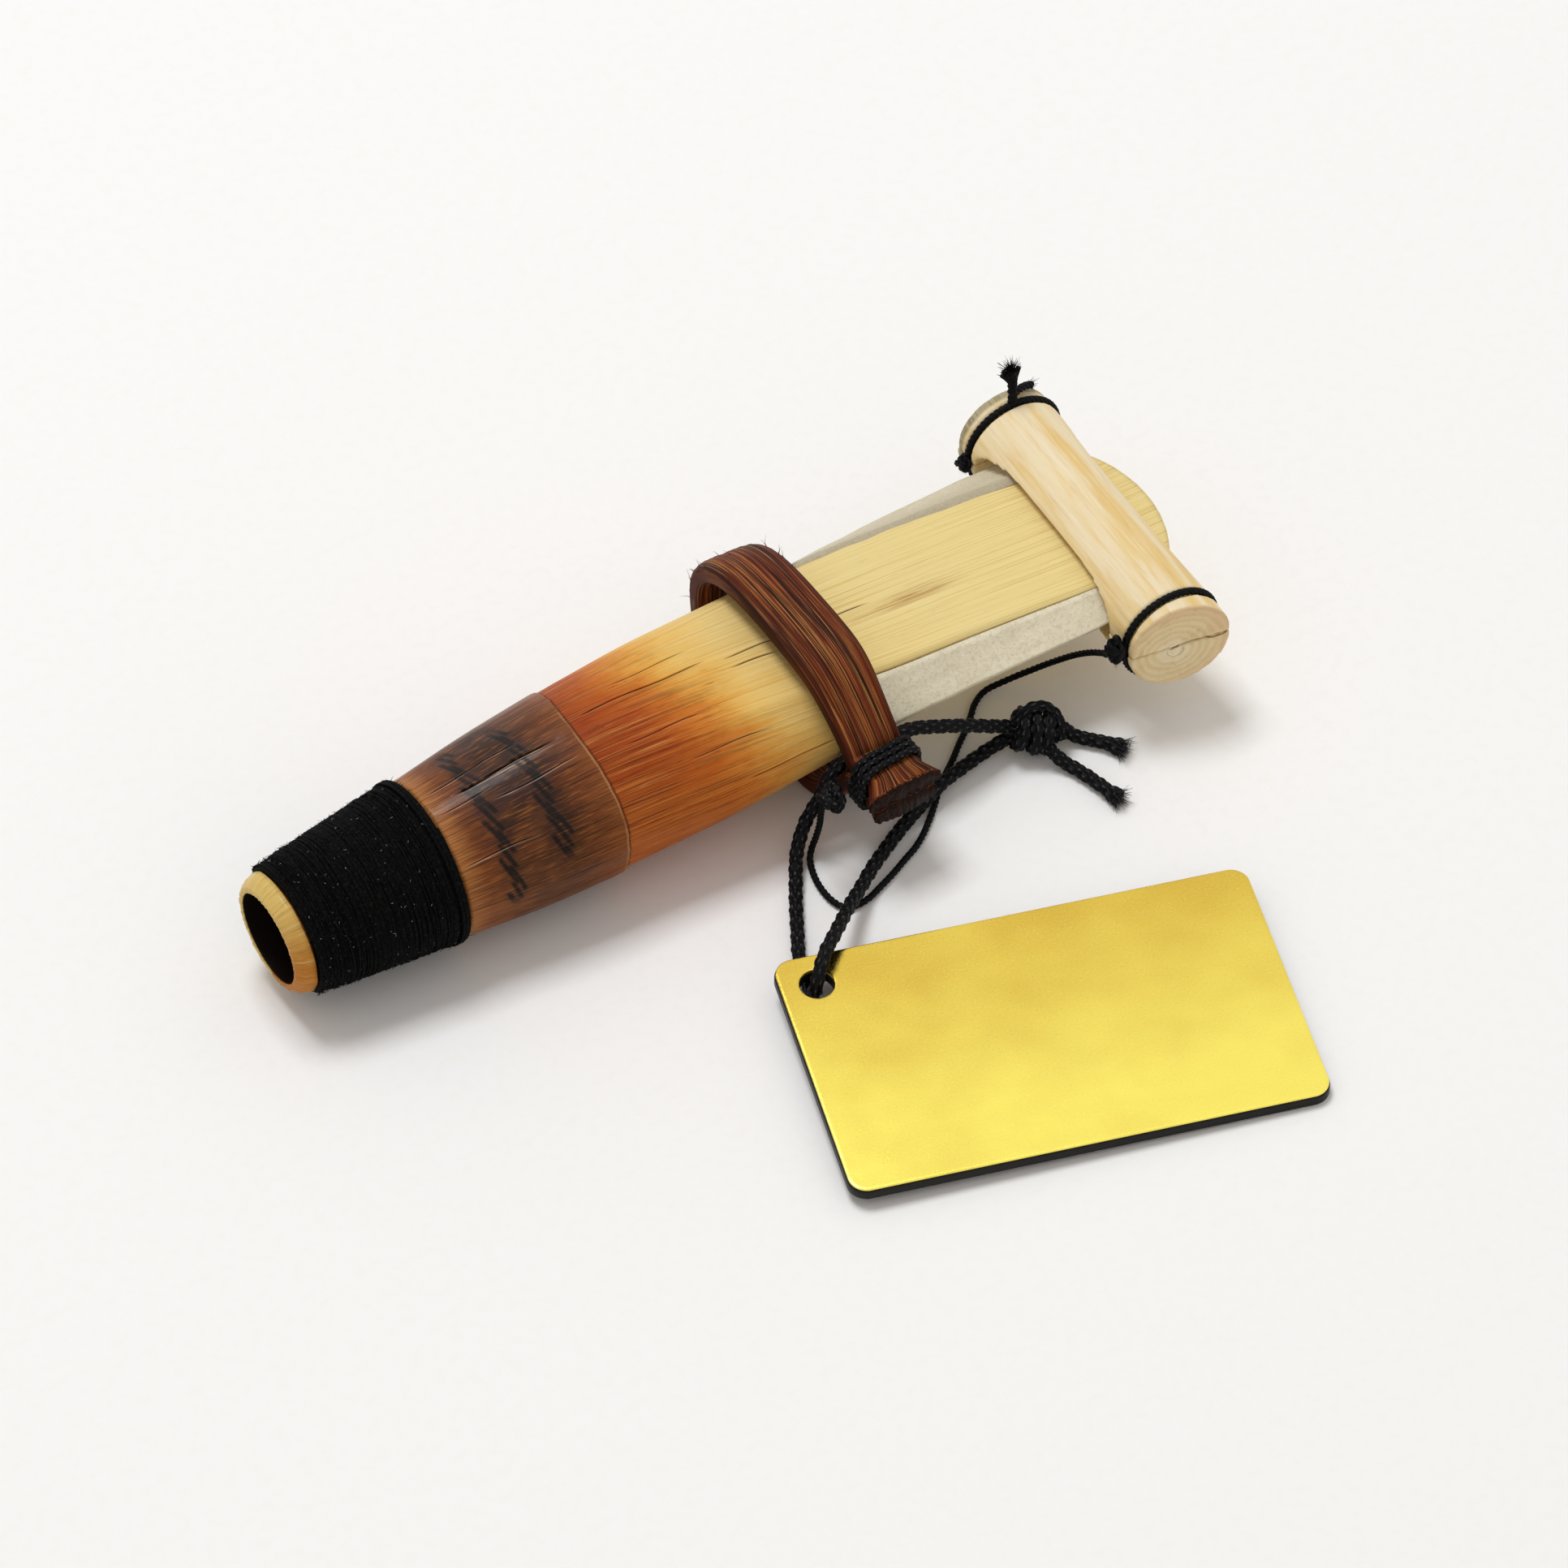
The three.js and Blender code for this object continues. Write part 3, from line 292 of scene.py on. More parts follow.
def outline_share(place, column):
    """A column of the outline, eased over a short reach where the reed isn't wound."""
    def at(p):
        return np.interp(p, OUTLINE[:, 0], OUTLINE[:, column])

    eased = (at(place - OUTLINE_REACH) + at(place) + at(place + OUTLINE_REACH)) / 3
    return np.where(place < 0.176, at(place), eased)


def reed_at(x):
    """Half width, half height, lean and blade share of the reed at places along it."""
    place = x / REED_LENGTH
    scraped = np.where(x > BARK_END, BARK_THICKNESS, 0)
    return (
        BLADE_HALF_WIDTH * outline_share(place, 1) - scraped,
        BODY_HALF_HEIGHT * outline_share(place, 2) - scraped,
        BLADE_HALF_WIDTH * outline_share(place, 3),
        outline_share(place, 4),
    )


def section_points(half_width, half_height, lean, blade, angle):
    """Points on the reed's section, round where blade is 0 and flat with bevelled edges at 1."""
    y = half_width * np.cos(angle)
    z = half_height * np.sin(angle)
    flat = half_height / np.maximum(np.abs(z), 1e-9)
    run = half_width * (1 - FLAT_TOP_SHARE)
    bevel = half_width * half_height / (np.abs(y) * half_height + np.abs(z) * run)
    scale = 1 + (np.minimum(flat, bevel) - 1) * blade
    return y * scale + lean, z * scale


def wrap_radius(x):
    share = (x - RIM_LENGTH) / (WRAP_END - RIM_LENGTH)
    return WRAP_START_RADIUS + share * (WRAP_END_RADIUS - WRAP_START_RADIUS)


def hollow_at(x):
    """Half width, half height, lean and blade share of the hollow inside the reed."""
    place = np.clip(x / REED_LENGTH, 0, 1)
    to_belly = np.clip(place / HOLLOW[0, 0], 0, 1)
    to_tip = smoothstep(place, HOLLOW[-1, 0], 1)
    wide = BLADE_HALF_WIDTH * np.interp(place, HOLLOW[:, 0], HOLLOW[:, 1])
    high = BODY_HALF_HEIGHT * np.interp(place, HOLLOW[:, 0], HOLLOW[:, 2])
    high = high + (TIP_SLIT_HALF_HEIGHT - high) * to_tip
    _, _, lean, blade = reed_at(x)
    wide = BORE_RADIUS + (wide - BORE_RADIUS) * to_belly
    high = BORE_RADIUS + (high - BORE_RADIUS) * to_belly
    return wide, high, lean, blade


def grid_faces(rows, columns, loop_rows=False):
    """Four-sided faces between rings of points; with loop_rows the last ring meets the first."""
    r = np.arange(rows if loop_rows else rows - 1)[:, None]
    c = np.arange(columns)[None, :]
    a, b = r * columns + c, r * columns + (c + 1) % columns
    up = ((r + 1) % rows) * columns
    return np.stack([a, b, up + (c + 1) % columns, up + c], -1).reshape(-1, 4).tolist()


def end_faces(rows, columns):
    """Faces from side to side across the first and the last ring."""
    return [
        [start + i, start + i + 1, start + columns - 2 - i, start + columns - 1 - i]
        for start in (0, (rows - 1) * columns) for i in range(columns // 2 - 1)
    ]


def smooth_path(route, spacing):
    """Evenly spaced points on the centripetal curve through a route, as the part draws it."""
    points = np.asarray(route, float)
    points = np.vstack([2 * points[0] - points[1], points, 2 * points[-1] - points[-2]])
    steps = np.maximum(np.linalg.norm(np.diff(points, axis=0), axis=1) ** 0.5, 1e-6)
    knot = np.concatenate([[0], np.cumsum(steps)])
    dense = []
    for i in range(1, len(points) - 2):
        t = np.linspace(knot[i], knot[i + 1], 32, endpoint=False)[:, None]

        def between(a, b, ta, tb):
            return ((tb - t) * a + (t - ta) * b) / (tb - ta)

        first = between(points[i - 1], points[i], knot[i - 1], knot[i])
        second = between(points[i], points[i + 1], knot[i], knot[i + 1])
        third = between(points[i + 1], points[i + 2], knot[i + 1], knot[i + 2])
        early = between(first, second, knot[i - 1], knot[i + 1])
        late = between(second, third, knot[i], knot[i + 2])
        dense.append(between(early, late, knot[i], knot[i + 1]))
    dense = np.vstack(dense + [points[-2:-1]])
    return even_path(dense, spacing)


def even_path(points, spacing):
    """The same line with its points a set length apart."""
    length = lengths_along(points)
    count = max(4, int(round(length[-1] / spacing)) + 1)
    at = np.linspace(0, length[-1], count)
    return np.stack([np.interp(at, length, points[:, k]) for k in range(3)], -1)


def sides_along(path):
    """Side and rise directions at each point, carried along the path without twist."""
    run = unit(np.gradient(path, axis=0))
    side = np.zeros_like(path)
    start = np.cross(run[0], (0, 0, 1))
    if np.linalg.norm(start) < 0.1:
        start = np.cross(run[0], (0, 1, 0))
    side[0] = unit(start)
    for i in range(1, len(path)):
        side[i] = unit(side[i - 1] - run[i] * (side[i - 1] @ run[i]))
    return side, np.cross(run, side)


def rope(path, diameter, sides, relief=None):
    """A cord on a path. relief(along, around) gives the share of its radius that is pressed in."""
    side, rise = sides_along(path)
    along = lengths_along(path)[:, None]
    around = (TAU * np.arange(sides) / sides)[None, :]
    radius = np.full((len(path), sides), diameter / 2)
    if relief is not None:
        radius = radius * (1 - relief(along, around))
    ring = side[:, None, :] * np.cos(around)[..., None] + rise[:, None, :] * np.sin(around)[..., None]
    points = (path[:, None, :] + ring * radius[..., None]).reshape(-1, 3)
    last = (len(path) - 1) * sides
    faces = grid_faces(len(path), sides)
    faces += [list(range(sides))[::-1], list(range(last, last + sides))]
    marks = as_points(along, np.cos(around), np.sin(around)).reshape(-1, 3)
    return points, faces, marks


def braid(strands, step, depth):
    """Relief of a round braid: plump diamonds where its strands cross over."""
    def relief(along, around):
        turn = strands * around / TAU
        bump = np.abs(np.cos(math.pi * (turn + along / step)) * np.cos(math.pi * (turn - along / step)))
        return depth * (1 - bump ** 0.7)

    return relief


def swollen(relief, length):
    """A relief with the cord's last end, at a length along it, spread by its loosened strands."""
    return lambda along, around: relief(along, around) - 0.38 * np.exp(-((along - length) / 1.1) ** 2)


def twist(strands, pitch, depth):
    """Relief of a laid cord: grooves that wind round it between its strands."""
    def relief(along, around):
        ridge = np.abs(np.cos(strands / 2 * (around - TAU * along / pitch)))
        return depth * (1 - ridge)

    return relief


def joined(parts):
    """Several shapes as one."""
    points, faces, marks, start = [], [], [], 0
    for p, f, m in parts:
        points.append(p)
        marks.append(m)
        faces += [[start + i for i in face] for face in f]
        start += len(p)
    return np.vstack(points), faces, np.vstack(marks)


def hairs(base, out, drift, thickness):
    """Thin three-sided fibres that leave their base along out and bend over to drift."""
    count, rings, sides = len(base), 4, 3
    share = np.linspace(0, 1, rings)[None, :, None]
    centre = base[:, None] + out[:, None] * share + drift[:, None] * share ** 2
    side = unit(np.cross(out, drift + 1e-6))
    other = unit(np.cross(out, side))
    turn = (TAU * np.arange(sides) / sides)[None, None, :, None]
    radius = thickness * (1 - 0.75 * np.linspace(0, 1, rings))[None, :, None, None]
    ring = side[:, None, None] * np.cos(turn) + other[:, None, None] * np.sin(turn)
    points = (centre[:, :, None] + ring * radius).reshape(-1, 3)
    one = grid_faces(rings, sides) + [[2, 1, 0], [9, 10, 11]]
    faces = [[k * rings * sides + i for i in face] for k in range(count) for face in one]
    return points, faces, np.zeros((len(points), 3))


def frayed_end(tip, run, radius, length, count, seed):
    """A spray of loose fibres at the cut end of a cord."""
    rng = np.random.default_rng(seed)
    run = unit(np.asarray(run, float))
    spread = rng.normal(0, 1, (count, 3))
    spread = spread - (spread @ run)[:, None] * run
    spread = unit(spread) * rng.uniform(0.1, 1, (count, 1))
    base = np.asarray(tip) + spread * radius * 0.75 - run * 0.3
    out = run * length * rng.uniform(0.5, 1, (count, 1)) + spread * length * 0.25
    drift = spread * length * rng.uniform(0.1, 0.7, (count, 1)) + rng.normal(0, 0.12, (count, 3)) * length
    return hairs(base, out, drift, 0.05)


def overhand(size, thickness, seed):
    """The line of a pulled-tight overhand knot, as big as asked with its cord on it."""
    rng = np.random.default_rng(seed)
    t = np.linspace(0, TAU, 160)
    line = as_points(
        np.sin(t) + 2 * np.sin(2 * t), np.cos(t) - 2 * np.cos(2 * t), -1.5 * np.sin(3 * t))
    line = line * (size - thickness) / 2 / 3
    line += 0.03 * size * np.sin(t * 2 + rng.uniform(0, TAU))[:, None] * rng.normal(0, 1, 3)
    return line


# Finishes

def tone(code):
    """A colour written as six hex digits, in linear light."""
    parts = [int(code[i:i + 2], 16) / 255 for i in (0, 2, 4)]
    return tuple(c / 12.92 if c <= 0.04045 else ((c + 0.055) / 1.055) ** 2.4 for c in parts)


class Wire:
    """A socket that takes part in sums."""

    def __init__(self, nodes, socket):
        self.nodes, self.socket = nodes, socket

    def maths(self, operation, *values):
        return self.nodes.node("ShaderNodeMath", {"operation": operation}, dict(enumerate(values)))

    def __add__(self, other):
        return self.maths("ADD", self, other)

    __radd__ = __add__

    def __sub__(self, other):
        return self.maths("SUBTRACT", self, other)

    def __rsub__(self, other):
        return self.maths("SUBTRACT", other, self)

    def __mul__(self, other):
        return self.maths("MULTIPLY", self, other)

    __rmul__ = __mul__

    def __truediv__(self, other):
        return self.maths("DIVIDE", self, other)

    def __pow__(self, other):
        return self.maths("POWER", self, other)

    def __abs__(self):
        return self.maths("ABSOLUTE", self)

    def sine(self):
        return self.maths("SINE", self)

    def whole_left(self):
        return self.maths("FRACT", self)

    def most(self, other):
        return self.maths("MAXIMUM", self, other)

    def angle(self, across):
        """The angle, in radians, whose tangent is this over the other."""
        return self.maths("ARCTAN2", self, across)

    def step(self, low, high):
        """0 where this is low, 1 where it is high and a smooth turn between them."""
        return self.nodes.node(
            "ShaderNodeMapRange", {"interpolation_type": "SMOOTHSTEP"},
            {0: self, 1: low, 2: high, 3: 0.0, 4: 1.0},
        )

    def near(self, middle, reach):
        """1 at a value, falling to 0 at a reach either side of it."""
        return 1 - abs(self - middle).step(0.0, reach)


class Nodes:
    """The nodes of a material or a world."""

    def __init__(self, tree):
        self.tree = tree
        tree.nodes.clear()

    def join(self, socket, value):
        """Links a socket or sets it; a colour may be a hex code."""
        if isinstance(value, Wire):
            self.tree.links.new(value.socket, socket)
        elif socket.type == "RGBA":
            socket.default_value = (*(tone(value) if isinstance(value, str) else value), 1)
        else:
            socket.default_value = value

    def node(self, kind, settings=None, inputs=None, output=0):
        made = self.tree.nodes.new(kind)
        for name, value in (settings or {}).items():
            if name == "stops":
                ramp = made.color_ramp
                while len(ramp.elements) < len(value):
                    ramp.elements.new(0.5)
                for element, (place, colour) in zip(ramp.elements, sorted(value)):
                    element.position = place
                    element.color = (*colour, 1)
            else:
                setattr(made, name, value)
        for name, value in (inputs or {}).items():
            self.join(made.inputs[name], value)
        if isinstance(output, (list, tuple)):
            return [Wire(self, made.outputs[i]) for i in output]
        return Wire(self, made.outputs[output])


class Finish(Nodes):
    """One material built from nodes around a single shader."""

    def __init__(self, name, **even):
        self.material = bpy.data.materials.new(name)
        self.material.use_nodes = True
        super().__init__(self.material.node_tree)
        self.shader = self.tree.nodes.new("ShaderNodeBsdfPrincipled")
        self.node("ShaderNodeOutputMaterial", inputs={0: Wire(self, self.shader.outputs[0])}, output=())
        for socket, value in even.items():
            self.shader.inputs[socket.replace("_", " ")].default_value = value

    def marks(self, name="marks"):
        """The three numbers that a piece's mesh carries for its finish."""
        vector = self.node("ShaderNodeAttribute", {"attribute_name": name}, output=1)
        return self.node("ShaderNodeSeparateXYZ", inputs={0: vector}, output=(0, 1, 2))

    def place(self):
        """Where a point is on its own piece, in millimetres."""
        vector = self.node("ShaderNodeTexCoord", output=3)
        x, y, z = self.node("ShaderNodeSeparateXYZ", inputs={0: vector}, output=(0, 1, 2))
        return x / MM, y / MM, z / MM

    def noise(self, x, y, z=0.0, detail=4.0, roughness=0.55):
        vector = self.node("ShaderNodeCombineXYZ", inputs={0: x, 1: y, 2: z})
        return self.node("ShaderNodeTexNoise", inputs={
            "Vector": vector, "Scale": 1.0, "Detail": detail, "Roughness": roughness,
        })

    def ramp(self, value, stops):
        return self.node("ShaderNodeValToRGB", {"stops": stops}, {0: value})

    def mix(self, first, second, share, blend="MIX"):
        return self.node(
            "ShaderNodeMix", {"data_type": "RGBA", "blend_type": blend},
            {0: share, 6: first, 7: second}, output=2,
        )

    def layers(self, colour, *layers):
        """A colour with others laid over it, each with its share and its blend if not plain."""
        for layer in layers:
            colour = self.mix(colour, *layer)
        return colour

    def finish(self, colour, roughness=None, height=None, relief=0.05, **others):
        """Joins what changes over the surface to the shader."""
        self.join(self.shader.inputs["Base Color"], colour)
        if roughness is not None:
            self.join(self.shader.inputs["Roughness"], roughness)
        if height is not None:
            bump = self.node("ShaderNodeBump", inputs={
                "Strength": 1.0, "Distance": relief * MM, "Height": height,
            })
            self.join(self.shader.inputs["Normal"], bump)
        for socket, value in others.items():
            self.join(self.shader.inputs[socket.replace("_", " ")], value)
        return self.material


def highest(masks):
    """The highest of several masks at each point."""
    first, *others = masks
    for other in others:
        first = first.most(other)
    return first


def scraped_cane(made, look, x, turn, grains):
    """Cane that is toasted next to the bark and pales to straw towards the blade."""
    streak, fine, cloud, fleck, dash, grain = grains
    toasted = x + (cloud - 0.5) * 10.0 + (streak - 0.5) * 13.0 + (fine - 0.5) * 8.0
    # The toasting reaches further along on the near side and darkens it: partly the toasting's own spread,
    # partly painted shade.
    toasted = toasted + 3.0 - turn.step(-40.0, 90.0) * 9.0
    toasting = 1 - toasted.step(50.0, 62.0)
    stain = turn.near(6.0, 7.0) * x.near(83.0, 11.0) * streak.step(0.4, 0.56)
    return made.layers(
        made.ramp(toasted / REED_LENGTH, [
            (0.345, look.toast_dark), (0.40, look.toast), (0.435, look.toast_gold),
            (0.465, look.gold), (0.50, look.straw), (0.56, look.blade_warm), (0.72, look.blade),
        ]),
        ("dc812a", turn.step(30.0, 85.0) * toasting * 0.35),
        ("6f2a0f", streak.step(0.5, 0.62) * toasting * 0.6),
        ("dd8f3e", streak.step(0.46, 0.34) * toasting * 0.4),
        ("ae6c35", fine.step(0.52, 0.66) * (0.12 + toasting * 0.6), "MULTIPLY"),
        ("eebc74", fine.step(0.42, 0.3) * (0.12 + toasting * 0.25)),
        ("a4672f", dash.step(0.62, 0.72) * (0.12 + toasting * 0.5), "MULTIPLY"),
        ("c39a52", grain.step(0.52, 0.64) * 0.45),
        ("f8e8b0", grain.step(0.46, 0.36) * 0.4 * x.step(52.0, 64.0)),
        ("8a5c2a", fleck.step(0.74, 0.78) * 0.6),
        ("a8763a", stain * fine.step(0.4, 0.6) * 0.8),
    )


def burnt_bark(made, look, x, turn, grains):
    """Bark with patches of wear, dark patches, a painted highlight near its top and two burnt rings, and a
    mask of the rings' strokes.
    """
    streak, fine, cloud, _, dash, _ = grains
    bark = made.layers(
        made.ramp((x + (streak - 0.5) * 7.0) / REED_LENGTH, [
            (0.178, look.bark_pale), (0.2, look.bark), (0.24, look.bark_dark),
            (0.29, look.bark_dark), (0.325, look.bark), (0.35, look.bark_warm),
        ]),
        (look.bark_warm, cloud.step(0.46, 0.7) * 0.4 + turn.step(40.0, 85.0) * 0.3),
        ("a8662c", dash.step(0.5, 0.68) * 0.5),
        ("1c0d07", fine.step(0.5, 0.64) * 0.75),
        ("3c2326", turn.near(24.0, 9.0) * x.near(29.0, 8.0) * streak.step(0.42, 0.6) * 0.6),
        # Painted highlight: a pale band near the top of the bark.
        ("cbb2a8", turn.near(8.0, 4.5) * x.near(30.0, 9.0) * fine.step(0.54, 0.44) * 0.5),
    )
    strokes = []
    for at, low, high in BURNT_RINGS:
        here = turn.step(low, low + BURNT_RING_FADE) * (1 - turn.step(high - BURNT_RING_FADE, high))
        bark = made.mix(bark, "241614", x.near(at, 2.2) * here * cloud.step(0.38, 0.56) * 0.5)
        for shift in STROKE_SHIFTS:
            stroke = (turn / 27.0 + shift + (cloud - 0.5) * 0.7).whole_left()
            line = abs(x - at - (shift - 0.35) * 1.2 - (stroke - 0.5) * 1.5 + (cloud - 0.5) * 1.6)
            strokes.append((1 - line.step(0.1, 0.46)) * stroke.near(0.5, 0.5).step(0.0, 0.3) * here)
    burnt = highest(strokes)
    return made.mix(bark, "0c0706", burnt * (0.55 + fine.step(0.36, 0.48) * 0.4)), burnt


def split_masks(x, turn):
    """Where the cane is split, and the painted highlight on the lip beside each split."""
    cracks, lip_highlights = [], []
    for start, end, at, half, depth in SPLITS:
        line = turn - at - (x * SPLIT_WAVE + at).sine() * SPLIT_WOBBLE
        run_in = x.step(start, start + SPLIT_START_RUN)
        open_here = run_in * (1 - x.step(end - SPLIT_END_RUN, end)) * min(1.0, 0.6 + depth)
        cracks.append((1 - abs(line).step(half * 0.3, half)) * open_here)
        lip_highlights.append(line.near(half * 1.9, half * 1.3) * open_here * (1.0 if start < BARK_END else 0.3))
    return highest(cracks), highest(lip_highlights)


def cut_rim(made, look, x, turn, cloud):
    """The ring of cut cane at the base, with fine drying checks."""
    end_grain = made.noise(x * 0.25, turn * 0.28, 21.0, 5.0, 0.7)
    check = (turn * 0.19 + (cloud - 0.5) * 1.3).whole_left().near(0.5, 0.035)
    return made.layers(
        made.mix(look.rim, look.rim_warm, turn.step(0.0, 95.0)),
        ("efdc9c", end_grain.step(0.5, 0.3) * 0.3),
        ("9a6420", end_grain.step(0.52, 0.7) * 0.55),
        ("5e3a14", check * cloud.step(0.42, 0.55) * 0.7),
    )


def cane_finish(look):
    """Barked and toasted cane that pales to straw towards the blade, with splits and burnt rings, painted
    highlights on the lip beside each split and along the bark's edge, and painted shade in the bore.
    """
    made = Finish("cane", Specular_IOR_Level=0.1, Coat_Roughness=0.14)
    x, across, down = made.marks()
    turn = down.angle(across) * RADIAN
    inside, past_bark, _ = made.marks("edges")
    grains = [
        made.noise(x * along, turn * around, *others) for along, around, *others in (
            CANE_STREAK, CANE_FINE, CANE_CLOUD, CANE_FLECK, CANE_DASH, CANE_GRAIN)
    ]
    _, fine, cloud, fleck, _, _ = grains
    body = scraped_cane(made, look, x, turn, grains)
    bark, burnt = burnt_bark(made, look, x, turn, grains)
    cracks, lip_highlights = split_masks(x, turn)
    colour = made.layers(
        made.mix(bark, body, past_bark.step(-0.1, 0.12)),
        # A dark line just past the bark's edge, then a painted highlight: a pale line on the bark just
        # before its edge.
        ("4a1c0c", past_bark.near(0.08, 0.25) * 0.75),
        ("c08c5c", past_bark.near(-0.25, 0.2) * cloud.step(0.35, 0.6) * 0.6),
        # Painted highlight along the lip beside each split.
        ("f0dcc4", lip_highlights * fine.step(0.62, 0.42) * 0.6),
        ("1e0d07", cracks * 0.95),
    )
    rim = cut_rim(made, look, x, turn, cloud)
    colour = made.mix(rim, colour, x.step(RIM_LENGTH, RIM_LENGTH + 0.2))
    # Painted shade: the whole inner surface of the bore is painted near black.
    colour = made.mix(colour, "140a05", inside)
    barked = 1 - past_bark.step(-0.2, 0.2)
    rough = 0.5 - barked * 0.12 + (fine - 0.5) * 0.25
    height = fine * 0.7 + fleck * 0.2 - cracks * 1.5 - burnt * barked * 0.6
    glaze = barked * (0.15 - turn.step(30.0, 75.0) * 0.12)
    return made.finish(colour, rough, height, look.grain_relief / MM, Coat_Weight=glaze)


def thread_finish(look):
    """Deep black waxed thread, a little dusty."""
    made = Finish("winding thread", Specular_IOR_Level=0.04)
    x, y, z = made.place()
    grain = made.noise(x * 3.0, y * 3.0, z * 3.0, 3.0, 0.6)
    dust = made.noise(x * 4.5 + 9.0, y * 4.5, z * 4.5, 2.0, 0.6)
    colour = made.layers(
        look.colour, ("1c1c1c", grain.step(0.45, 0.75)), ("55585c", dust.step(0.7, 0.76) * 0.7))
    return made.finish(colour, 0.7 + grain * 0.2, grain, 0.08)


def lint_finish(look):
    """Pale dust fibres caught in the thread."""
    made = Finish("lint")
    x, y, z = made.place()
    grain = made.noise(x * 2.0, y * 2.0, z * 2.0)
    return made.finish(made.mix("5c5f64", look.lint, grain.step(0.35, 0.65)), 0.9 - grain * 0.1)


def leather_finish(look, name, near_shaded):
    """Pale split leather with a speckled nap and painted shade: a dark line along its top edge, the near
    strip darker on its crease and lower part, the far strip darker all over.
    """
    made = Finish(name, Specular_IOR_Level=0.15)
    _, share, _ = made.marks()
    x, y, z = made.place()
    nap = made.noise(x * 2.2, y * 2.2, z * 2.2, 6.0, 0.7)
    patch = made.noise(x * 0.25, y * 0.3, z * 0.3, 3.0, 0.5)
    pits = made.noise(x * 5.0, y * 5.0, z * 5.0, 3.0, 0.6)
    # Painted shade: a dark line along the strip's top edge, where it meets the cane, broader on the near
    # strip.
    top_edge_shade = share.step(NEAR_STRIP_TOP - 0.06 if near_shaded else 0.94, 1.04)
    colour = made.layers(
        look.colour,
        (look.shade, nap.step(0.45, 0.68) * 0.55),
        ("fbf7e8", nap.step(0.42, 0.3) * 0.6),
        ("8f8468", pits.step(0.64, 0.74) * 0.55),
        (look.shade, patch.step(0.4, 0.8) * 0.3),
        ("8a7d64", top_edge_shade * (0.2 + nap * 0.5)),
    )
    if near_shaded:
        # Painted shade on the near strip: a dark line along its crease and a darker lower part.
        colour = made.layers(
            colour, ("756b56", share.near(0.02, 0.06) * 0.4), ("958a70", share.step(0.05, -0.25) * 0.45))
    else:
        # Painted shade: the far strip is darkened all over, more towards its top.
        colour = made.mix(colour, "ab9f85", 0.4 + share.step(0.3, 0.9) * 0.15)
    return made.finish(colour, 0.88 - nap * 0.12, nap * 0.6 + pits * 0.5, look.nap_relief / MM)


def vine_finish(look):
    """Split vine: red-brown with fine tan fibres along it and a dark cut end."""
    made = Finish("bridle vine", Specular_IOR_Level=0.08)
    along, across, out = made.marks()
    x, y, z = made.place()
    fibre = made.noise(along * 0.045, across * 6.0, out * 0.8, 4.0, 0.65)
    thin = made.noise(along * 0.07, across * 8.5, out * 0.8 + 11.0, 3.0, 0.6)
    broad = made.noise(along * 0.07, across * 0.8, 3.0, 3.0, 0.5)
    wave = made.noise(along * 0.25, across * 1.3, 7.0, 2.0, 0.5)
    pores = made.noise(x * 3.0, y, z * 3.0, 4.0, 0.7)
    cut = out.step(1.9, 2.0)
    colour = made.layers(
        look.dark,
        (look.colour, broad.step(0.34, 0.6)),
        ("160804", fibre.step(0.49, 0.4) * 0.85),
        (look.fibre, fibre.step(0.54, 0.62) * (wave.step(0.3, 0.6) * 0.6 + 0.3)),
        ("cf9858", thin.step(0.58, 0.65) * 0.6),
        (look.dark, abs(across).step(3.2, 4.3) * 0.65),
        (made.mix("180b07", "46271a", pores.step(0.48, 0.7)), cut),
    )
    return made.finish(colour, 0.55 + (fibre - 0.5) * 0.3, fibre * (1 - cut) + pores * cut, 0.14)


def cap_end_face(made, x, z, fibre, streak):
    """The sawn end of the stick, with its growth rings, pith and drying crack, and the crack's mask."""
    across, high = x + 0.9, z + 0.5
    radius = (across * across * 0.8 + high * high) ** 0.5 + (streak - 0.5) * 1.2
    rings = (radius * 7.2).sine() * 0.5 + 0.5
    wander = (x * 1.1).sine() * 0.22 + (streak - 0.5) * 0.8
    crack = abs(z - wander).step(0.13, 0.03) * (x + 1.2).step(-0.3, 0.4)
    pith = abs(radius - 1.05 - x * 0.25).step(0.12, 0.02) * z.step(-0.1, -0.5)
    crack = crack.most(pith * 0.4)
    return made.layers(
        "ead7ab",
        ("c9a468", rings * 0.28 + streak.step(0.45, 0.7) * 0.25),
        ("e2bb90", (radius * 0.16).step(0.6, 0.95) * 0.5),
        ("fbf1d8", (radius * 0.4).step(1.0, 0.2) * 0.4),
        ("b08a55", fibre.step(0.56, 0.72) * 0.35),
        ("7a5930", crack * 0.75),
    ), crack


def cap_finish(look):
    """Peeled stick: cream wood with yellow streaks, a sawn near end and a pared far end."""
    made = Finish("cap wood", Specular_IOR_Level=0.2)
    x, y, z = made.place()
    streak = made.noise(x * 0.42, y * 0.035, z * 0.42, 4.0, 0.55)
    fibre = made.noise(x * 2.4, y * 0.12, z * 2.4, 5.0, 0.65)
    face, crack = cap_end_face(made, x, z, fibre, streak)
    near_end = (y * -1.0 - x * 0.158).step(19.45, 19.7)
    far_end = y.step(CAP_FAR_GROOVE + 0.9, CAP_FAR_GROOVE + 1.5)
    colour = made.layers(
        look.cream,
        (look.streak, streak.step(0.42, 0.62) * 0.9),
        ("d3a56c", fibre.step(0.52, 0.72) * 0.4),
        ("fbf2dc", fibre.step(0.46, 0.3) * 0.4),
        (face, near_end),
        (made.mix("7c745a", "aaa07e", fibre.step(0.35, 0.6)), far_end * 0.9),
    )
    height = fibre + streak * 0.6 - crack * near_end * 2.0
    return made.finish(colour, 0.5 + fibre * 0.15, height, look.grain_relief / MM)


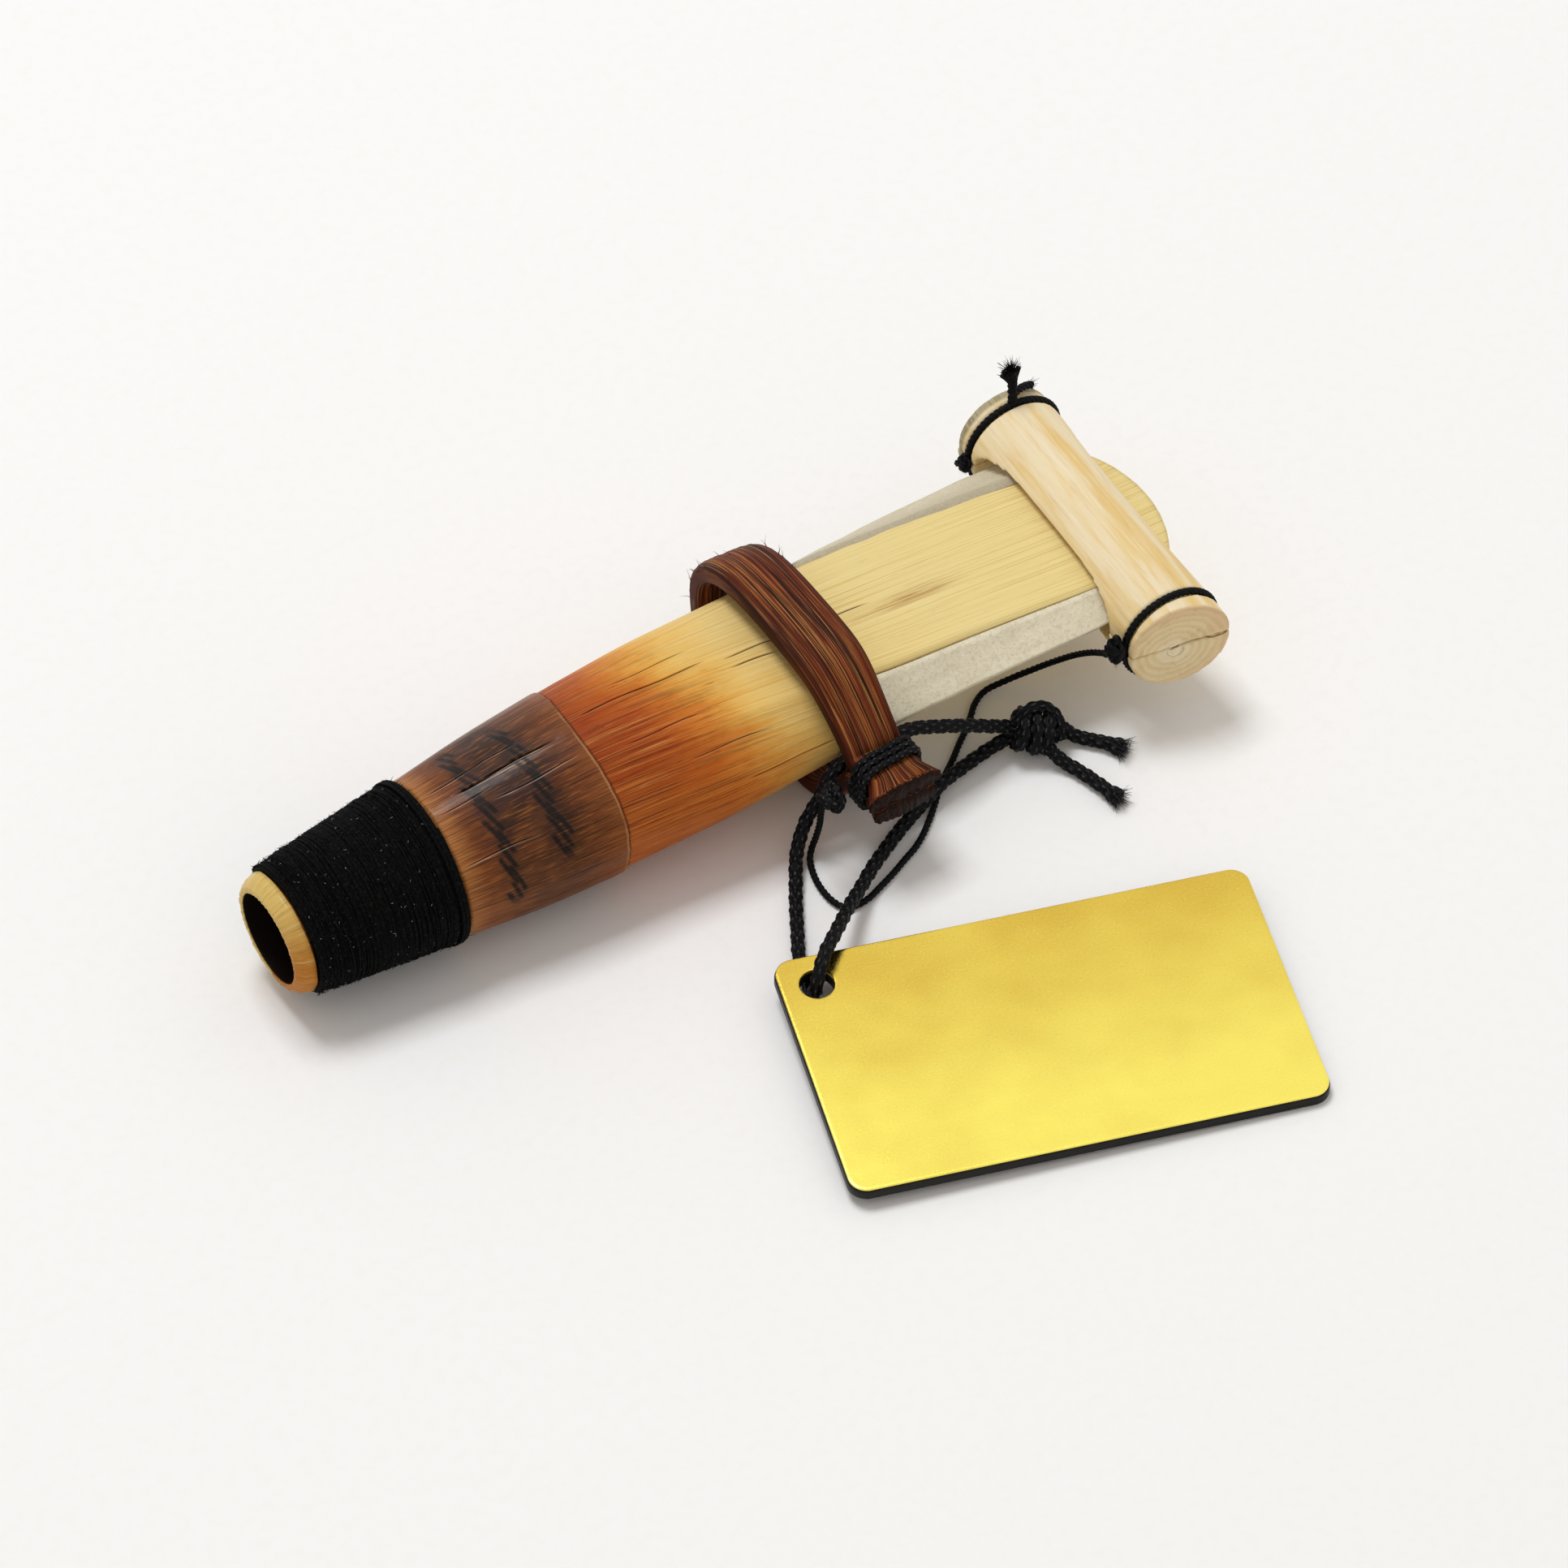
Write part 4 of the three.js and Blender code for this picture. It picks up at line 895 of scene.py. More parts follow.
def cord_finish(name, look, roughness, strands=0, step=1):
    """Black cord with single filaments that catch the light, painted lighter, and more of them painted as
    highlights on the crests of a braid.
    """
    made = Finish(name, Specular_IOR_Level=0.08)
    along, across, down = made.marks()
    x, y, z = made.place()
    filament = made.noise(x * 5.0 + along * 0.6, y * 5.0, z * 5.0, 3.0, 0.6)
    tint = made.mix(look.colour, look.glint, filament.step(0.5, 0.78) * 0.6)
    if strands:
        turn = down.angle(across) * (strands / 2)
        lay = along * (math.pi / step)
        crest = abs((turn + lay + math.pi / 2).sine() * (turn - lay + math.pi / 2).sine())
        # Painted highlight on the crests of the braid.
        tint = made.mix(tint, "5c5c62", crest.step(0.7, 0.95) * filament.step(0.4, 0.6) * 0.6)
    return made.finish(tint, roughness + filament * 0.2, filament, 0.05)


def tag_core_finish(look):
    """Black laminate with lightly sawn edges."""
    made = Finish("tag core", Specular_IOR_Level=0.2)
    x, y, z = made.place()
    saw = made.noise(x * 0.8, y * 0.8, z * 9.0, 3.0, 0.5)
    colour = made.mix(look.core, "2b2622", saw.step(0.5, 0.75) * 0.6)
    return made.finish(colour, 0.34 + saw * 0.2, saw, 0.03)


def tag_face_finish(look):
    """Gold-coloured mirror film, faintly rippled and grainy, with painted shade that darkens it towards the
    hole end.
    """
    made = Finish("tag face", Metallic=1.0)
    x, y, _ = made.place()
    ripple = made.noise(x * 0.08, y * 0.1, 1.0, 2.0, 0.45)
    grain = made.noise(x * 3.4, y * 4.0, 3.0, 4.0, 0.7)
    smear = made.noise(x * 0.22, y * 0.3, 6.0, 3.0, 0.5)
    # Painted shade: the film darkens towards the hole end, a painted dimming of its reflection; the ripple
    # adds random deeper tone.
    deep = y.step(-26.0, 4.0) * 0.75 + (ripple - 0.5) * 0.8
    colour = made.layers(
        look.gold,
        (look.gold_deep_and_shade, deep),
        ("a98432", grain.step(0.52, 0.72) * (0.12 + deep * 0.25)),
        ("fff6b0", grain.step(0.45, 0.3) * 0.25),
    )
    return made.finish(colour, 0.1 + smear * 0.08 + grain * 0.05, ripple * 2.0 + grain * 0.3, 0.05)


# Pieces

BELLY_HALF_HEIGHT = float(reed_at(np.array(BARK_END))[1])
AXIS_AT_BASE = BELLY_HALF_HEIGHT * math.cos(REED_PITCH) - BARK_END * math.sin(REED_PITCH)
TABLE = Matrix.Translation(TABLE_SHIFT * MM)
REED = TABLE @ Matrix.Translation((0, 0, AXIS_AT_BASE * MM)) @ Matrix.Rotation(-REED_PITCH, 4, "Y")
CAP_SHIFT = Matrix.Translation((CAP_AT * MM, 0, -CAP_BELOW_AXIS * MM))
CAP = REED @ CAP_SHIFT @ Matrix.Rotation(CAP_YAW, 4, "Z")
BRIDLE_SECTION = [float(value) for value in reed_at(np.array(BRIDLE_AT))]
NEAR_EDGE = BRIDLE_SECTION[0] - BRIDLE_SECTION[2]
TIE_REACH = NEAR_EDGE + TAG_CORD + BRIDLE_EYE_SLACK + BRIDLE_TIE_SPAN


def make_piece(name, shape, material, place, body, replaced=()):
    """Makes a piece from a shape in millimetres and puts it on its body of the frame."""
    points, faces, marks = shape
    mesh = bpy.data.meshes.new(name)
    mesh.from_pydata((np.asarray(points) * MM).tolist(), [], faces)
    layer = mesh.attributes.new("marks", "FLOAT_VECTOR", "POINT")
    layer.data.foreach_set("vector", np.asarray(marks, np.float32).ravel())
    sheet = bmesh.new()
    sheet.from_mesh(mesh)
    bmesh.ops.recalc_face_normals(sheet, faces=sheet.faces)
    sheet.to_mesh(mesh)
    sheet.free()
    mesh.shade_smooth()
    mesh.materials.append(material)
    piece = bpy.data.objects.new(name, mesh)
    piece.matrix_world = place
    bpy.context.scene.collection.objects.link(piece)
    if body:
        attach(piece, body)
    if replaced:
        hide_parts(*replaced)
    return piece


def split_depth(x, turn):
    """How deep the cane's splits go, with a raised lip beside the deeper ones."""
    depth = np.zeros(np.broadcast(x, turn).shape)
    for start, end, at, half, deep in SPLITS:
        line = turn - at - np.sin(x * SPLIT_WAVE + at) * SPLIT_WOBBLE
        here = smoothstep(x, start, start + SPLIT_START_RUN) * (1 - smoothstep(x, end - SPLIT_END_RUN, end))
        lip = 0.35 * np.exp(-((line + 2 * half) / half) ** 2)
        depth += here * deep * (np.exp(-(line / half) ** 2) - lip)
    return depth


def tip_front(y, lean):
    """How far a point near the tip may reach before the rounded front edge cuts it."""
    return np.sqrt(np.maximum(TIP_ARC_RADIUS ** 2 - (y - lean) ** 2, 0)) / TIP_ARC_RADIUS


def bark_edge(turn):
    """How far along the reed its bark reaches at a turn from the top."""
    notch = 0.7 * np.exp(-((turn - 8) / 26) ** 2)
    ragged = 0.08 * np.sin(turn / 9) + 0.07 * smooth_noise(turn / 4 + 60, 0 * turn + 3.5, 4)
    return BARK_END - 0.45 - notch + ragged


def cane_shape():
    """The whole hollow cane as one closed skin, and what its edges mark for its finish."""
    turns = [np.arange(-180, 180, 1.5)]
    for _, _, at, half, _ in SPLITS:
        turns.append(np.arange(at - 2 * half - 0.8, at + 2 * half + 0.8, half / 2))
    turn = np.unique(np.round(np.concatenate(turns), 2))[None, :]
    angle = np.radians(turn + 90)
    near_tip = REED_LENGTH - TIP_ARC_RADIUS

    x = np.concatenate([
        [0, 0.12, 0.35, 0.8, 1.4, 1.98], np.linspace(2.1, 20.2, 8), np.arange(20.36, 37.6, 0.38),
        np.arange(37.6, 41.4, 0.12), np.arange(41.6, 79, 0.42), np.arange(79.4, REED_LENGTH, 0.8),
        [REED_LENGTH],
    ])[:, None]
    half_width, half_height, lean, blade = reed_at(x)
    wound = (x > RIM_LENGTH) & (x < WRAP_END)
    seat = wrap_radius(x) - SEAT_UNDER_WRAP
    half_width = np.where(wound, seat, half_width)
    half_height = np.where(wound, seat, half_height)
    y, z = section_points(half_width, half_height, lean, blade, angle)
    share = np.clip((x - near_tip) / TIP_ARC_RADIUS, 0, 1)
    rounded = near_tip + share * TIP_ARC_RADIUS * tip_front(y, lean)
    outer_x = np.where(x > near_tip, rounded, x + 0 * y)
    reach = np.hypot(y - lean, z)

    inward = split_depth(x, turn)
    bark = smoothstep(x, WRAP_END, WRAP_END + 1.5) * (1 - smoothstep(x, BARK_END - 2, BARK_END + 1))
    inward += bark * 0.16 * smooth_noise(turn / 13 + 40, x / 22 + 0 * turn, 3)
    past_bark = x - bark_edge(turn)
    inward += np.where((past_bark > 0) & (x <= BARK_END), BARK_THICKNESS, 0)
    inward -= np.where((past_bark <= 0) & (x > BARK_END), BARK_THICKNESS, 0)
    open_cane = smoothstep(x, BARK_END, BARK_END + 3)
    inward += open_cane * 0.05 * smooth_noise(turn / 2.2 + 90, x / 17 + 0 * turn, 5)
    inward += (x < RIM_LENGTH) * 0.12 * smooth_noise(turn / 7 + 60, x * 0 + 1.5, 6)
    near = (turn > 90 - CORNER_ANGLE * NEAR_STRIP_TOP - 0.5) & (turn < 90 + CORNER_ANGLE + 1)
    far = np.abs(turn + 90) < CORNER_ANGLE + 1
    strip = (x > STRIP_START - GAP) & (x < STRIP_END + GAP) & (near | far)
    inward = np.where(strip, 0.55, inward)
    keep = 1 - inward / np.maximum(reach, 1)
    y, z = lean + (y - lean) * keep, z * keep
    outer_x = outer_x + (x < 0.05) * 0.1 * smooth_noise(turn / 2.5 + 70, x * 0 + 0.5, 7)
    outside = as_points(outer_x, y, z)
    outside_marks = as_points(x, np.cos(np.radians(turn)), np.sin(np.radians(turn)))

    hx = np.concatenate([
        np.linspace(REED_LENGTH, near_tip, 10), np.linspace(near_tip - 3, 0.5, 34), [0.15],
    ])[:, None]
    hy, hz = section_points(*hollow_at(hx), angle)
    _, _, hlean, _ = reed_at(hx)
    share = np.clip((hx - near_tip) / TIP_ARC_RADIUS, 0, 1)
    rounded = near_tip + share * TIP_ARC_RADIUS * tip_front(hy, hlean)
    hollow = as_points(np.where(hx > near_tip, rounded, hx + 0 * hy), hy, hz)

    base = []
    for between in (0.04, 0.35, 0.7):
        ring = hollow[-1] * (1 - between) + outside[0] * between
        ring[:, 0] = 0.06 * smooth_noise(turn[0] / 2.5 + 20, 0 * turn[0] + between * 9, 8)
        base.append(ring)
    rings = np.concatenate([hollow, np.array(base), outside])
    marks = np.concatenate([
        np.broadcast_to(outside_marks[:1], (len(hollow) + len(base), *outside_marks.shape[1:])),
        outside_marks,
    ]).copy()
    marks[:len(hollow), :, 0] = np.broadcast_to(hx, (len(hx), turn.shape[1]))
    count, columns = rings.shape[:2]
    edges = np.zeros((count, columns, 3))
    edges[:len(hollow), :, 0] = 1
    edges[-len(outside):, :, 1] = past_bark
    shape = rings.reshape(-1, 3), grid_faces(count, columns, True), marks.reshape(-1, 3)
    return shape, edges.reshape(-1, 3)


def strip_shape(side):
    """Leather over one edge of the blade, from the top corner round to the lower one."""
    x = np.arange(STRIP_START, STRIP_END + 0.01, 0.6)[:, None]
    top_share = 1 if side > 0 else NEAR_STRIP_TOP
    share = np.linspace(-1, top_share, 49)[None, :]
    if side > 0:
        share = share * (1 + (share > 0) * FAR_STRIP_LAP * smoothstep(x, 60, 84))
        top_share = share[:, -1:]
    angle = (0 if side > 0 else math.pi) + side * np.radians(share * CORNER_ANGLE)
    half_width, half_height, lean, blade = reed_at(x)
    y, z = section_points(half_width, half_height, lean, blade, angle)
    reach = np.maximum(np.hypot(y - lean, z), 1)
    ridge = 0.05 * smooth_noise(x / 3 + 0 * share, share * 5 + 20, 11)
    lifted = 0.22 * np.exp(-((share - top_share) / 0.12) ** 2) * (
        0.6 + 0.4 * smooth_noise(x / 9 + 0 * share, 0 * x + 3.5 + 0 * share, 12))
    proud = 0.13 + ridge + lifted
    edge = np.where(share > 0, share / top_share, -share) ** 40 * 0.3
    up, low = 1 + (proud - edge) / reach, 1 - 0.35 / reach
    top = as_points(x, lean + (y - lean) * up, z * up)
    under = as_points(x, lean + (y - lean) * low, z * low)
    rings = np.concatenate([top, under[:, ::-1]], 1)
    marks = np.concatenate([as_points(x, share, 0), as_points(x, share[:, ::-1], -1)], 1)
    rows, columns = rings.shape[:2]
    faces = grid_faces(rows, columns) + end_faces(rows, columns)
    return rings.reshape(-1, 3), faces, marks.reshape(-1, 3)


def helix(start, end, turns, radius_at, phase, wobble, seed):
    """A line wound unevenly about the reed's axis between two places along it."""
    t = np.linspace(0, 1, int(abs(turns) * 40))
    wound = t * abs(turns)
    x = start + (end - start) * t + wobble * smooth_noise(wound * 2.3 + 30, 0 * t + 0.5, seed)
    angle = TAU * turns * t + phase
    radius = radius_at(x) + 0.6 * wobble * smooth_noise(wound * 3.1 + 50, 0 * t + 8.5, seed)
    return as_points(x, radius * np.cos(angle), radius * np.sin(angle))


def wound_thread_shape(look):
    """Close turns of thread, a few that cross over them, and a piled band at the end."""
    size = look.thread / MM
    first, last = RIM_LENGTH + GAP + size / 2, WRAP_END - GAP - 1.25
    turns = int((last - first) / (size * 0.93))
    core_x = np.linspace(RIM_LENGTH + GAP, WRAP_END - GAP, 10)[:, None]
    angle = (TAU * np.arange(72) / 72)[None, :]
    ring, under = (
        as_points(core_x, radius * np.cos(angle), radius * np.sin(angle))
        for radius in (wrap_radius(core_x) - size * 0.8, wrap_radius(core_x) - 1.1)
    )
    sleeve = np.concatenate([ring, under[::-1]]).reshape(-1, 3)
    parts = [(sleeve, grid_faces(20, 72, True), np.zeros((len(sleeve), 3)))]

    def uneven(x):
        return wrap_radius(x) - size / 2 + 0.12 * np.sin(x * 1.1) * np.sin(x * 0.43 + 1)

    parts.append(rope(helix(first, last, turns, uneven, 0.4, 0.13, 21), size, 6))
    rng = np.random.default_rng(31)
    for i in range(18):
        start, end = sorted(rng.uniform(first + 0.2, last, 2))
        if end - start < 5:
            start, end = first + 0.5 + i, last - 0.3 * i
        turning = (end - start) / rng.uniform(0.6, 3.5) * rng.choice((-1, 1))
        line = helix(
            start, end, turning, lambda x: wrap_radius(x) - size * 0.1, rng.uniform(0, TAU), 0.25, 40 + i)
        parts.append(rope(line, size * 0.85, 6))
    for i in range(4):
        radius = WRAP_END_RADIUS - size / 2 + 0.06 + 0.1 * (i % 2)
        at = WRAP_END - GAP - size * (0.55 + 0.8 * i)
        line = helix(at - 0.1, at + 0.1, 2.05, lambda x: radius + 0 * x, i * 1.3, 0.05, 60 + i)
        parts.append(rope(line, size, 6))
    return joined(parts)


def fuzz_shape(count, low, high, reach, thickness, seed, lying):
    """Short fibres on the wound thread, standing off it or lying on it."""
    rng = np.random.default_rng(seed)
    x = rng.uniform(low, high, count)
    angle = rng.uniform(0, TAU, count)
    outward = as_points(0, np.cos(angle), np.sin(angle))
    along = as_points(1, 0, 0 * x)
    around = as_points(0, -np.sin(angle), np.cos(angle))
    base = outward * (wrap_radius(x) + (0.1 if lying else -0.1))[:, None] + along * x[:, None]
    heading = rng.uniform(0, TAU, count)[:, None]
    flat = along * np.cos(heading) + around * np.sin(heading)
    length = reach * rng.uniform(0.35, 1, (count, 1))
    if lying:
        return hairs(base, flat * length, outward * -0.05 + flat * 0.1 * length, thickness)
    lean = rng.uniform(0.2, 1, (count, 1))
    rise = outward * length * 0.45 + flat * length * 0.6 * lean
    points, faces, marks = hairs(base, rise, flat * length * lean * 0.6, thickness)
    table = -(AXIS_AT_BASE + points[:, 0] * math.sin(REED_PITCH))
    points[:, 2] = np.maximum(points[:, 2], table + 0.03)
    return points, faces, marks


def eased(path, reach):
    """A path, spaced like a route, whose corners are rounded over a reach either side."""
    half = int(reach / ROUTE_SPACING)
    weight = np.hanning(2 * half + 1)
    padded = np.vstack([np.repeat(path[:1], half, 0), path, np.repeat(path[-1:], half, 0)])
    return np.stack([np.convolve(padded[:, k], weight / weight.sum(), "valid") for k in range(3)], -1)


def bridle_line():
    """The bridle's middle line in the reed's cross plane: flare, tie, loop, tie and flare."""
    half_width, half_height, lean, _ = BRIDLE_SECTION
    half = BRIDLE_THICKNESS / 2
    across = half_width + BRIDLE_GAP + half
    high = half_height + BRIDLE_GAP + half
    axis = AXIS_AT_BASE / math.cos(REED_PITCH) + BRIDLE_AT * math.tan(REED_PITCH)
    low = axis - BRIDLE_WIDTH / 2 * math.tan(REED_PITCH) - half
    tie_high = -BRIDLE_TIE_DROP + half + GAP / 2
    tie_low = -BRIDLE_TIE_DROP - half - GAP / 2
    pinch = -TIE_REACH + BRIDLE_TIE_SPAN
    points = [
        (0.4 - TIE_REACH - BRIDLE_FLARE, tie_high - BRIDLE_FLARE_DROP * 0.35),
        (0.2 - TIE_REACH - BRIDLE_FLARE / 2, tie_high - BRIDLE_FLARE_DROP * 0.1),
        (-TIE_REACH, tie_high),
        (pinch, tie_high + GAP / 2),
        (pinch + half, tie_high + BRIDLE_THICKNESS * BRIDLE_LEG_RISE),
    ]
    for angle in np.linspace(0.66 * math.pi, -0.65 * math.pi, 25):
        c, s = math.cos(angle), math.sin(angle)
        y = lean + across * bowed(c, 2 / BRIDLE_SQUARENESS)
        z = (high if s > 0 else low * 1.09) * bowed(s, 2 / BRIDLE_SQUARENESS)
        crown = 0.9 * max(0, 1 - (c / 0.8) ** 2) if s > 0 else 0
        points.append((y, max(z, -low) + crown))
    points += [
        (pinch + half, tie_low - BRIDLE_THICKNESS * BRIDLE_LEG_RISE),
        (pinch, tie_low - GAP / 2),
        (-TIE_REACH, tie_low),
        (0.2 - TIE_REACH - BRIDLE_FLARE / 2, tie_low + 0.05),
        (0.4 - TIE_REACH - BRIDLE_FLARE, tie_low - BRIDLE_FLARE_DROP * 0.05),
    ]
    path = smooth_path([(0, y, z) for y, z in points], ROUTE_SPACING)
    loop = smoothstep(path[:, 1:2], 2.5 - TIE_REACH, 5.5 - TIE_REACH)
    return path * (1 - loop) + eased(path, 4) * loop


def bridle_shape():
    """A split vine bent round the reed: flat inside, crowned and fibrous outside."""
    path = bridle_line()
    run = unit(np.gradient(path, axis=0))
    out = as_points(0, -run[:, 2], run[:, 1])
    half_width, half_height, _, _ = BRIDLE_SECTION
    beyond = (-TIE_REACH - BRIDLE_TIE_SPAN - path[:, 1]) / (BRIDLE_FLARE - BRIDLE_TIE_SPAN)
    beyond = np.clip(beyond, 0, 1)
    within = smoothstep((path[:, 1] + TIE_REACH - BRIDLE_TIE_SPAN) / (TIE_REACH - half_width / 2), 0, 1)
    wide = np.where(
        beyond > 0, BRIDLE_TIED_WIDTH + (BRIDLE_FLARE_WIDTH - BRIDLE_TIED_WIDTH) * beyond,
        BRIDLE_TIED_WIDTH + (BRIDLE_WIDTH - BRIDLE_TIED_WIDTH) * within,
    )[:, None]
    lower = np.arange(len(path)) > len(path) / 2
    wide = wide * (1 - 0.16 * beyond * lower)[:, None]
    count = 112
    angle = (TAU * (np.arange(count) + 0.5) / count)[None, :]
    c, s = np.cos(angle), np.sin(angle)
    w = 0.5 * bowed(c, 0.62 + 0.38 * beyond[:, None])
    t = 0.5 * bowed(s, np.where(s > 0, 0.55 + 0.4 * beyond[:, None], 0.28))
    length = lengths_along(path)[:, None]
    fibres = smooth_noise(w * 30 + 40 + 0 * length, length / 9 + 0 * w, 71)
    fibres = fibres + 0.6 * smooth_noise(w * 58 + 70 + 0 * length, length / 6 + 0 * w, 72)
    ridge = (0.065 * (s > 0) + 0.03 * (s <= 0)) * fibres * (1 + beyond[:, None])
    slim = 1 - 0.12 * smoothstep(np.abs(path[:, 1] + TIE_REACH), 1.6, 0.2)[:, None]
    rise = t * BRIDLE_THICKNESS * slim + ridge
    x = w * wide * slim
    there = reed_at(BRIDLE_AT + x)[1]
    top = (there + BRIDLE_GAP) / (half_height + BRIDLE_GAP)
    points = path[:, None, :] + out[:, None, :] * rise[..., None]
    points[..., 0] = BRIDLE_AT + x
    points[..., 1] += (path[:, 1:2] - points[..., 1]) * beyond[:, None]
    upper = (points[..., 2] > 0) & (points[..., 1] > -TIE_REACH)
    points[..., 2] *= np.where(upper, 1 + (top - 1) * 0.8, 1)
    rows = len(path)
    for end in (0, rows - 1):
        points[end, :, 1] += 0.12 * smooth_noise(w[end] * 24 + 30, t[end] * 6 + 30, 73 + end)
    marks = as_points(length, w * BRIDLE_WIDTH, t)
    marks[[0, -1], :, 2] = 2
    faces = grid_faces(rows, count) + end_faces(rows, count)
    band = points.reshape(-1, 3), faces, marks.reshape(-1, 3)

    rng = np.random.default_rng(75)
    loose = np.flatnonzero(path[:, 1] > 7)
    row = rng.choice(loose[:len(loose) // 2], 44)
    edge = rng.choice((2, 8, count // 2 - 9, count // 2 - 3, count // 4), len(row))
    drift = rng.normal(0, 0.35, (len(row), 3)) + run[row] * rng.choice((-1, 1), (len(row), 1)) * 0.8
    rise = out[row] * rng.uniform(0.1, 0.9, (len(row), 1)) + rng.normal(0, 0.25, (len(row), 3))
    return joined([band, hairs(points[row, edge], rise, drift, 0.05)])


def bridle_tie_shape():
    """Three turns of braided cord that pinch the bridle's ends together."""
    across = BRIDLE_TIED_WIDTH / 2 - 0.05 + TIE_CORD / 2
    tall = BRIDLE_THICKNESS + GAP / 2 - 0.05 + TIE_CORD / 2
    t = np.linspace(0, 3, 260)
    angle = math.pi + TAU * t
    c, s = np.cos(angle), np.sin(angle)
    line = as_points(
        BRIDLE_AT + across * bowed(c, 2 / TIE_SQUARENESS),
        -TIE_REACH + 0.92 * (1.5 - t) + 0.3 * c + 0.1 * smooth_noise(t * 5 + 9, 0 * t + 2.5, 76),
        -BRIDLE_TIE_DROP + tall * bowed(s, 2 / TIE_SQUARENESS),
    )
    return rope(even_path(line, FINE_SPACING), TIE_CORD, 24, braid(TIE_STRANDS, TIE_STEP, TIE_RELIEF))


def knot_shape(size, thickness, relief, seed, extra=()):
    """A small hard knot: overhand knots pulled tight over one another."""
    parts = []
    for i in range(3):
        line = overhand(size * (1.05 - 0.1 * i), thickness, seed + i)
        turn = Matrix.Rotation(0.9 * i, 3, "Z") @ Matrix.Rotation(1.25 * i, 3, "X")
        line = line @ np.array(turn).T
        parts.append(rope(even_path(line, CORD_SPACING), thickness, 20, relief))
    return joined(parts + list(extra))


def moved(shape, offset, scale=(1, 1, 1)):
    points, faces, marks = shape
    return points * np.asarray(scale) + np.asarray(offset), faces, marks


def above_table(shape, height):
    """A shape in the table frame with what would be lower pressed up to a height."""
    shape[0][:, 2] = np.maximum(shape[0][:, 2], height)
    return shape


def cap_stick(name, node, side, material):
    """Half of the cap: the part's own half with its edges eased and its surface peeled by hand."""
    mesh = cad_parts[node].data.copy()
    mesh.transform(CAP.inverted())
    raw = bpy.data.objects.new(name + ".raw", mesh)
    bpy.context.scene.collection.objects.link(raw)
    remesh = raw.modifiers.new("even", "REMESH")
    remesh.mode = "VOXEL"
    remesh.voxel_size = 0.24 * MM
    ease = raw.modifiers.new("ease", "SMOOTH")
    ease.factor = 0.5
    ease.iterations = 3
    done = raw.evaluated_get(bpy.context.evaluated_depsgraph_get())
    even = bpy.data.meshes.new_from_object(done)
    points = np.zeros(len(even.vertices) * 3)
    even.vertices.foreach_get("co", points)
    points = points.reshape(-1, 3) / MM
    faces = [list(p.vertices) for p in even.polygons]
    bpy.data.objects.remove(raw)
    x, y, z = points.T
    closing = 0.11 * np.exp(-((np.abs(z) - GAP / 2) / 0.4) ** 2)
    radius = np.hypot(x, z)
    outer = smoothstep(radius, CAP_RADIUS - 1.6, CAP_RADIUS - 0.9)
    angle = np.arctan2(z, x)
    peel = 0.09 * smooth_noise(angle * 2.2 + 20, y / 9 + 30, 81)
    peel = peel + 0.04 * smooth_noise(angle * 7 + 40, y / 6 + 30, 82)
    swell = 1 + outer * peel / np.maximum(radius, 1)
    points = as_points(x * swell, y, z * swell - side * closing)
    return make_piece(
        name, (points, faces, np.zeros_like(points)), material, CAP, "cap", (node,))


def cap_ring_shape(at, relief):
    """A turn of laid cord in the cap's groove."""
    radius = CAP_RADIUS - CAP_GROOVE_DEPTH + CAP_TIE_LIFT + CAP_TIE / 2
    t = np.linspace(0, TAU, 220)
    line = as_points(radius * np.cos(t), at + 0.05 * np.sin(3 * t), radius * np.sin(t))
    return rope(even_path(line, RING_SPACING), CAP_TIE, 14, relief)


def cap_knot_shape(place, scale, seed, relief):
    """A knot of the cap's cord with a tuft of loose fibres under it."""
    tuft = frayed_end((0.2, 0.2, -1.2), (-0.4, 0.3, -1), 0.4, 1.1, 40, seed)
    return moved(knot_shape(CAP_KNOT_SIZE, CAP_TIE, relief, seed, [tuft]), place, scale)


def cap_tails_shape(relief):
    """The far tie's two free ends, and strands that have come loose round the upright one."""
    top = np.array([0, CAP_FAR_GROOVE, CAP_RADIUS - CAP_GROOVE_DEPTH + GAP + CAP_TIE])
    parts = []
    for i, (route, count) in enumerate(((CAP_TAIL_UP, 170), (CAP_TAIL_SIDE, 60))):
        path = np.vstack([[0, 0, -0.75], np.array(route) - (0, 0, 0.55)]) + top
        path = smooth_path(path, FINE_SPACING)
        parts.append(rope(path, CAP_TIE * (1.3 - 0.2 * i), 14, relief))
        parts.append(frayed_end(
            path[-1], path[-1] - path[-8], CAP_TIE * 0.6, 1.5 - 0.8 * i, count, 131 + i))
    rng = np.random.default_rng(133)
    for _ in range(CAP_TAIL_STRANDS):
        spread = rng.normal(0, 0.2, 3) * (1, 1, 0.3)
        strand = smooth_path(np.array([
            (0.3, 0.4, 0.6), (0.4, 0.5, 1.6), (0.6, 0.8, 2.6) + spread, (0.55, 0.9, 3.6) + spread * 2.1,
        ]) + top, FINE_SPACING)
        parts.append(rope(strand, CAP_TAIL_STRAND_SIZE, 8))
        parts.append(frayed_end(strand[-1], strand[-1] - strand[-8], 0.25, 0.6, 14, rng.integers(999)))
    return joined(parts)


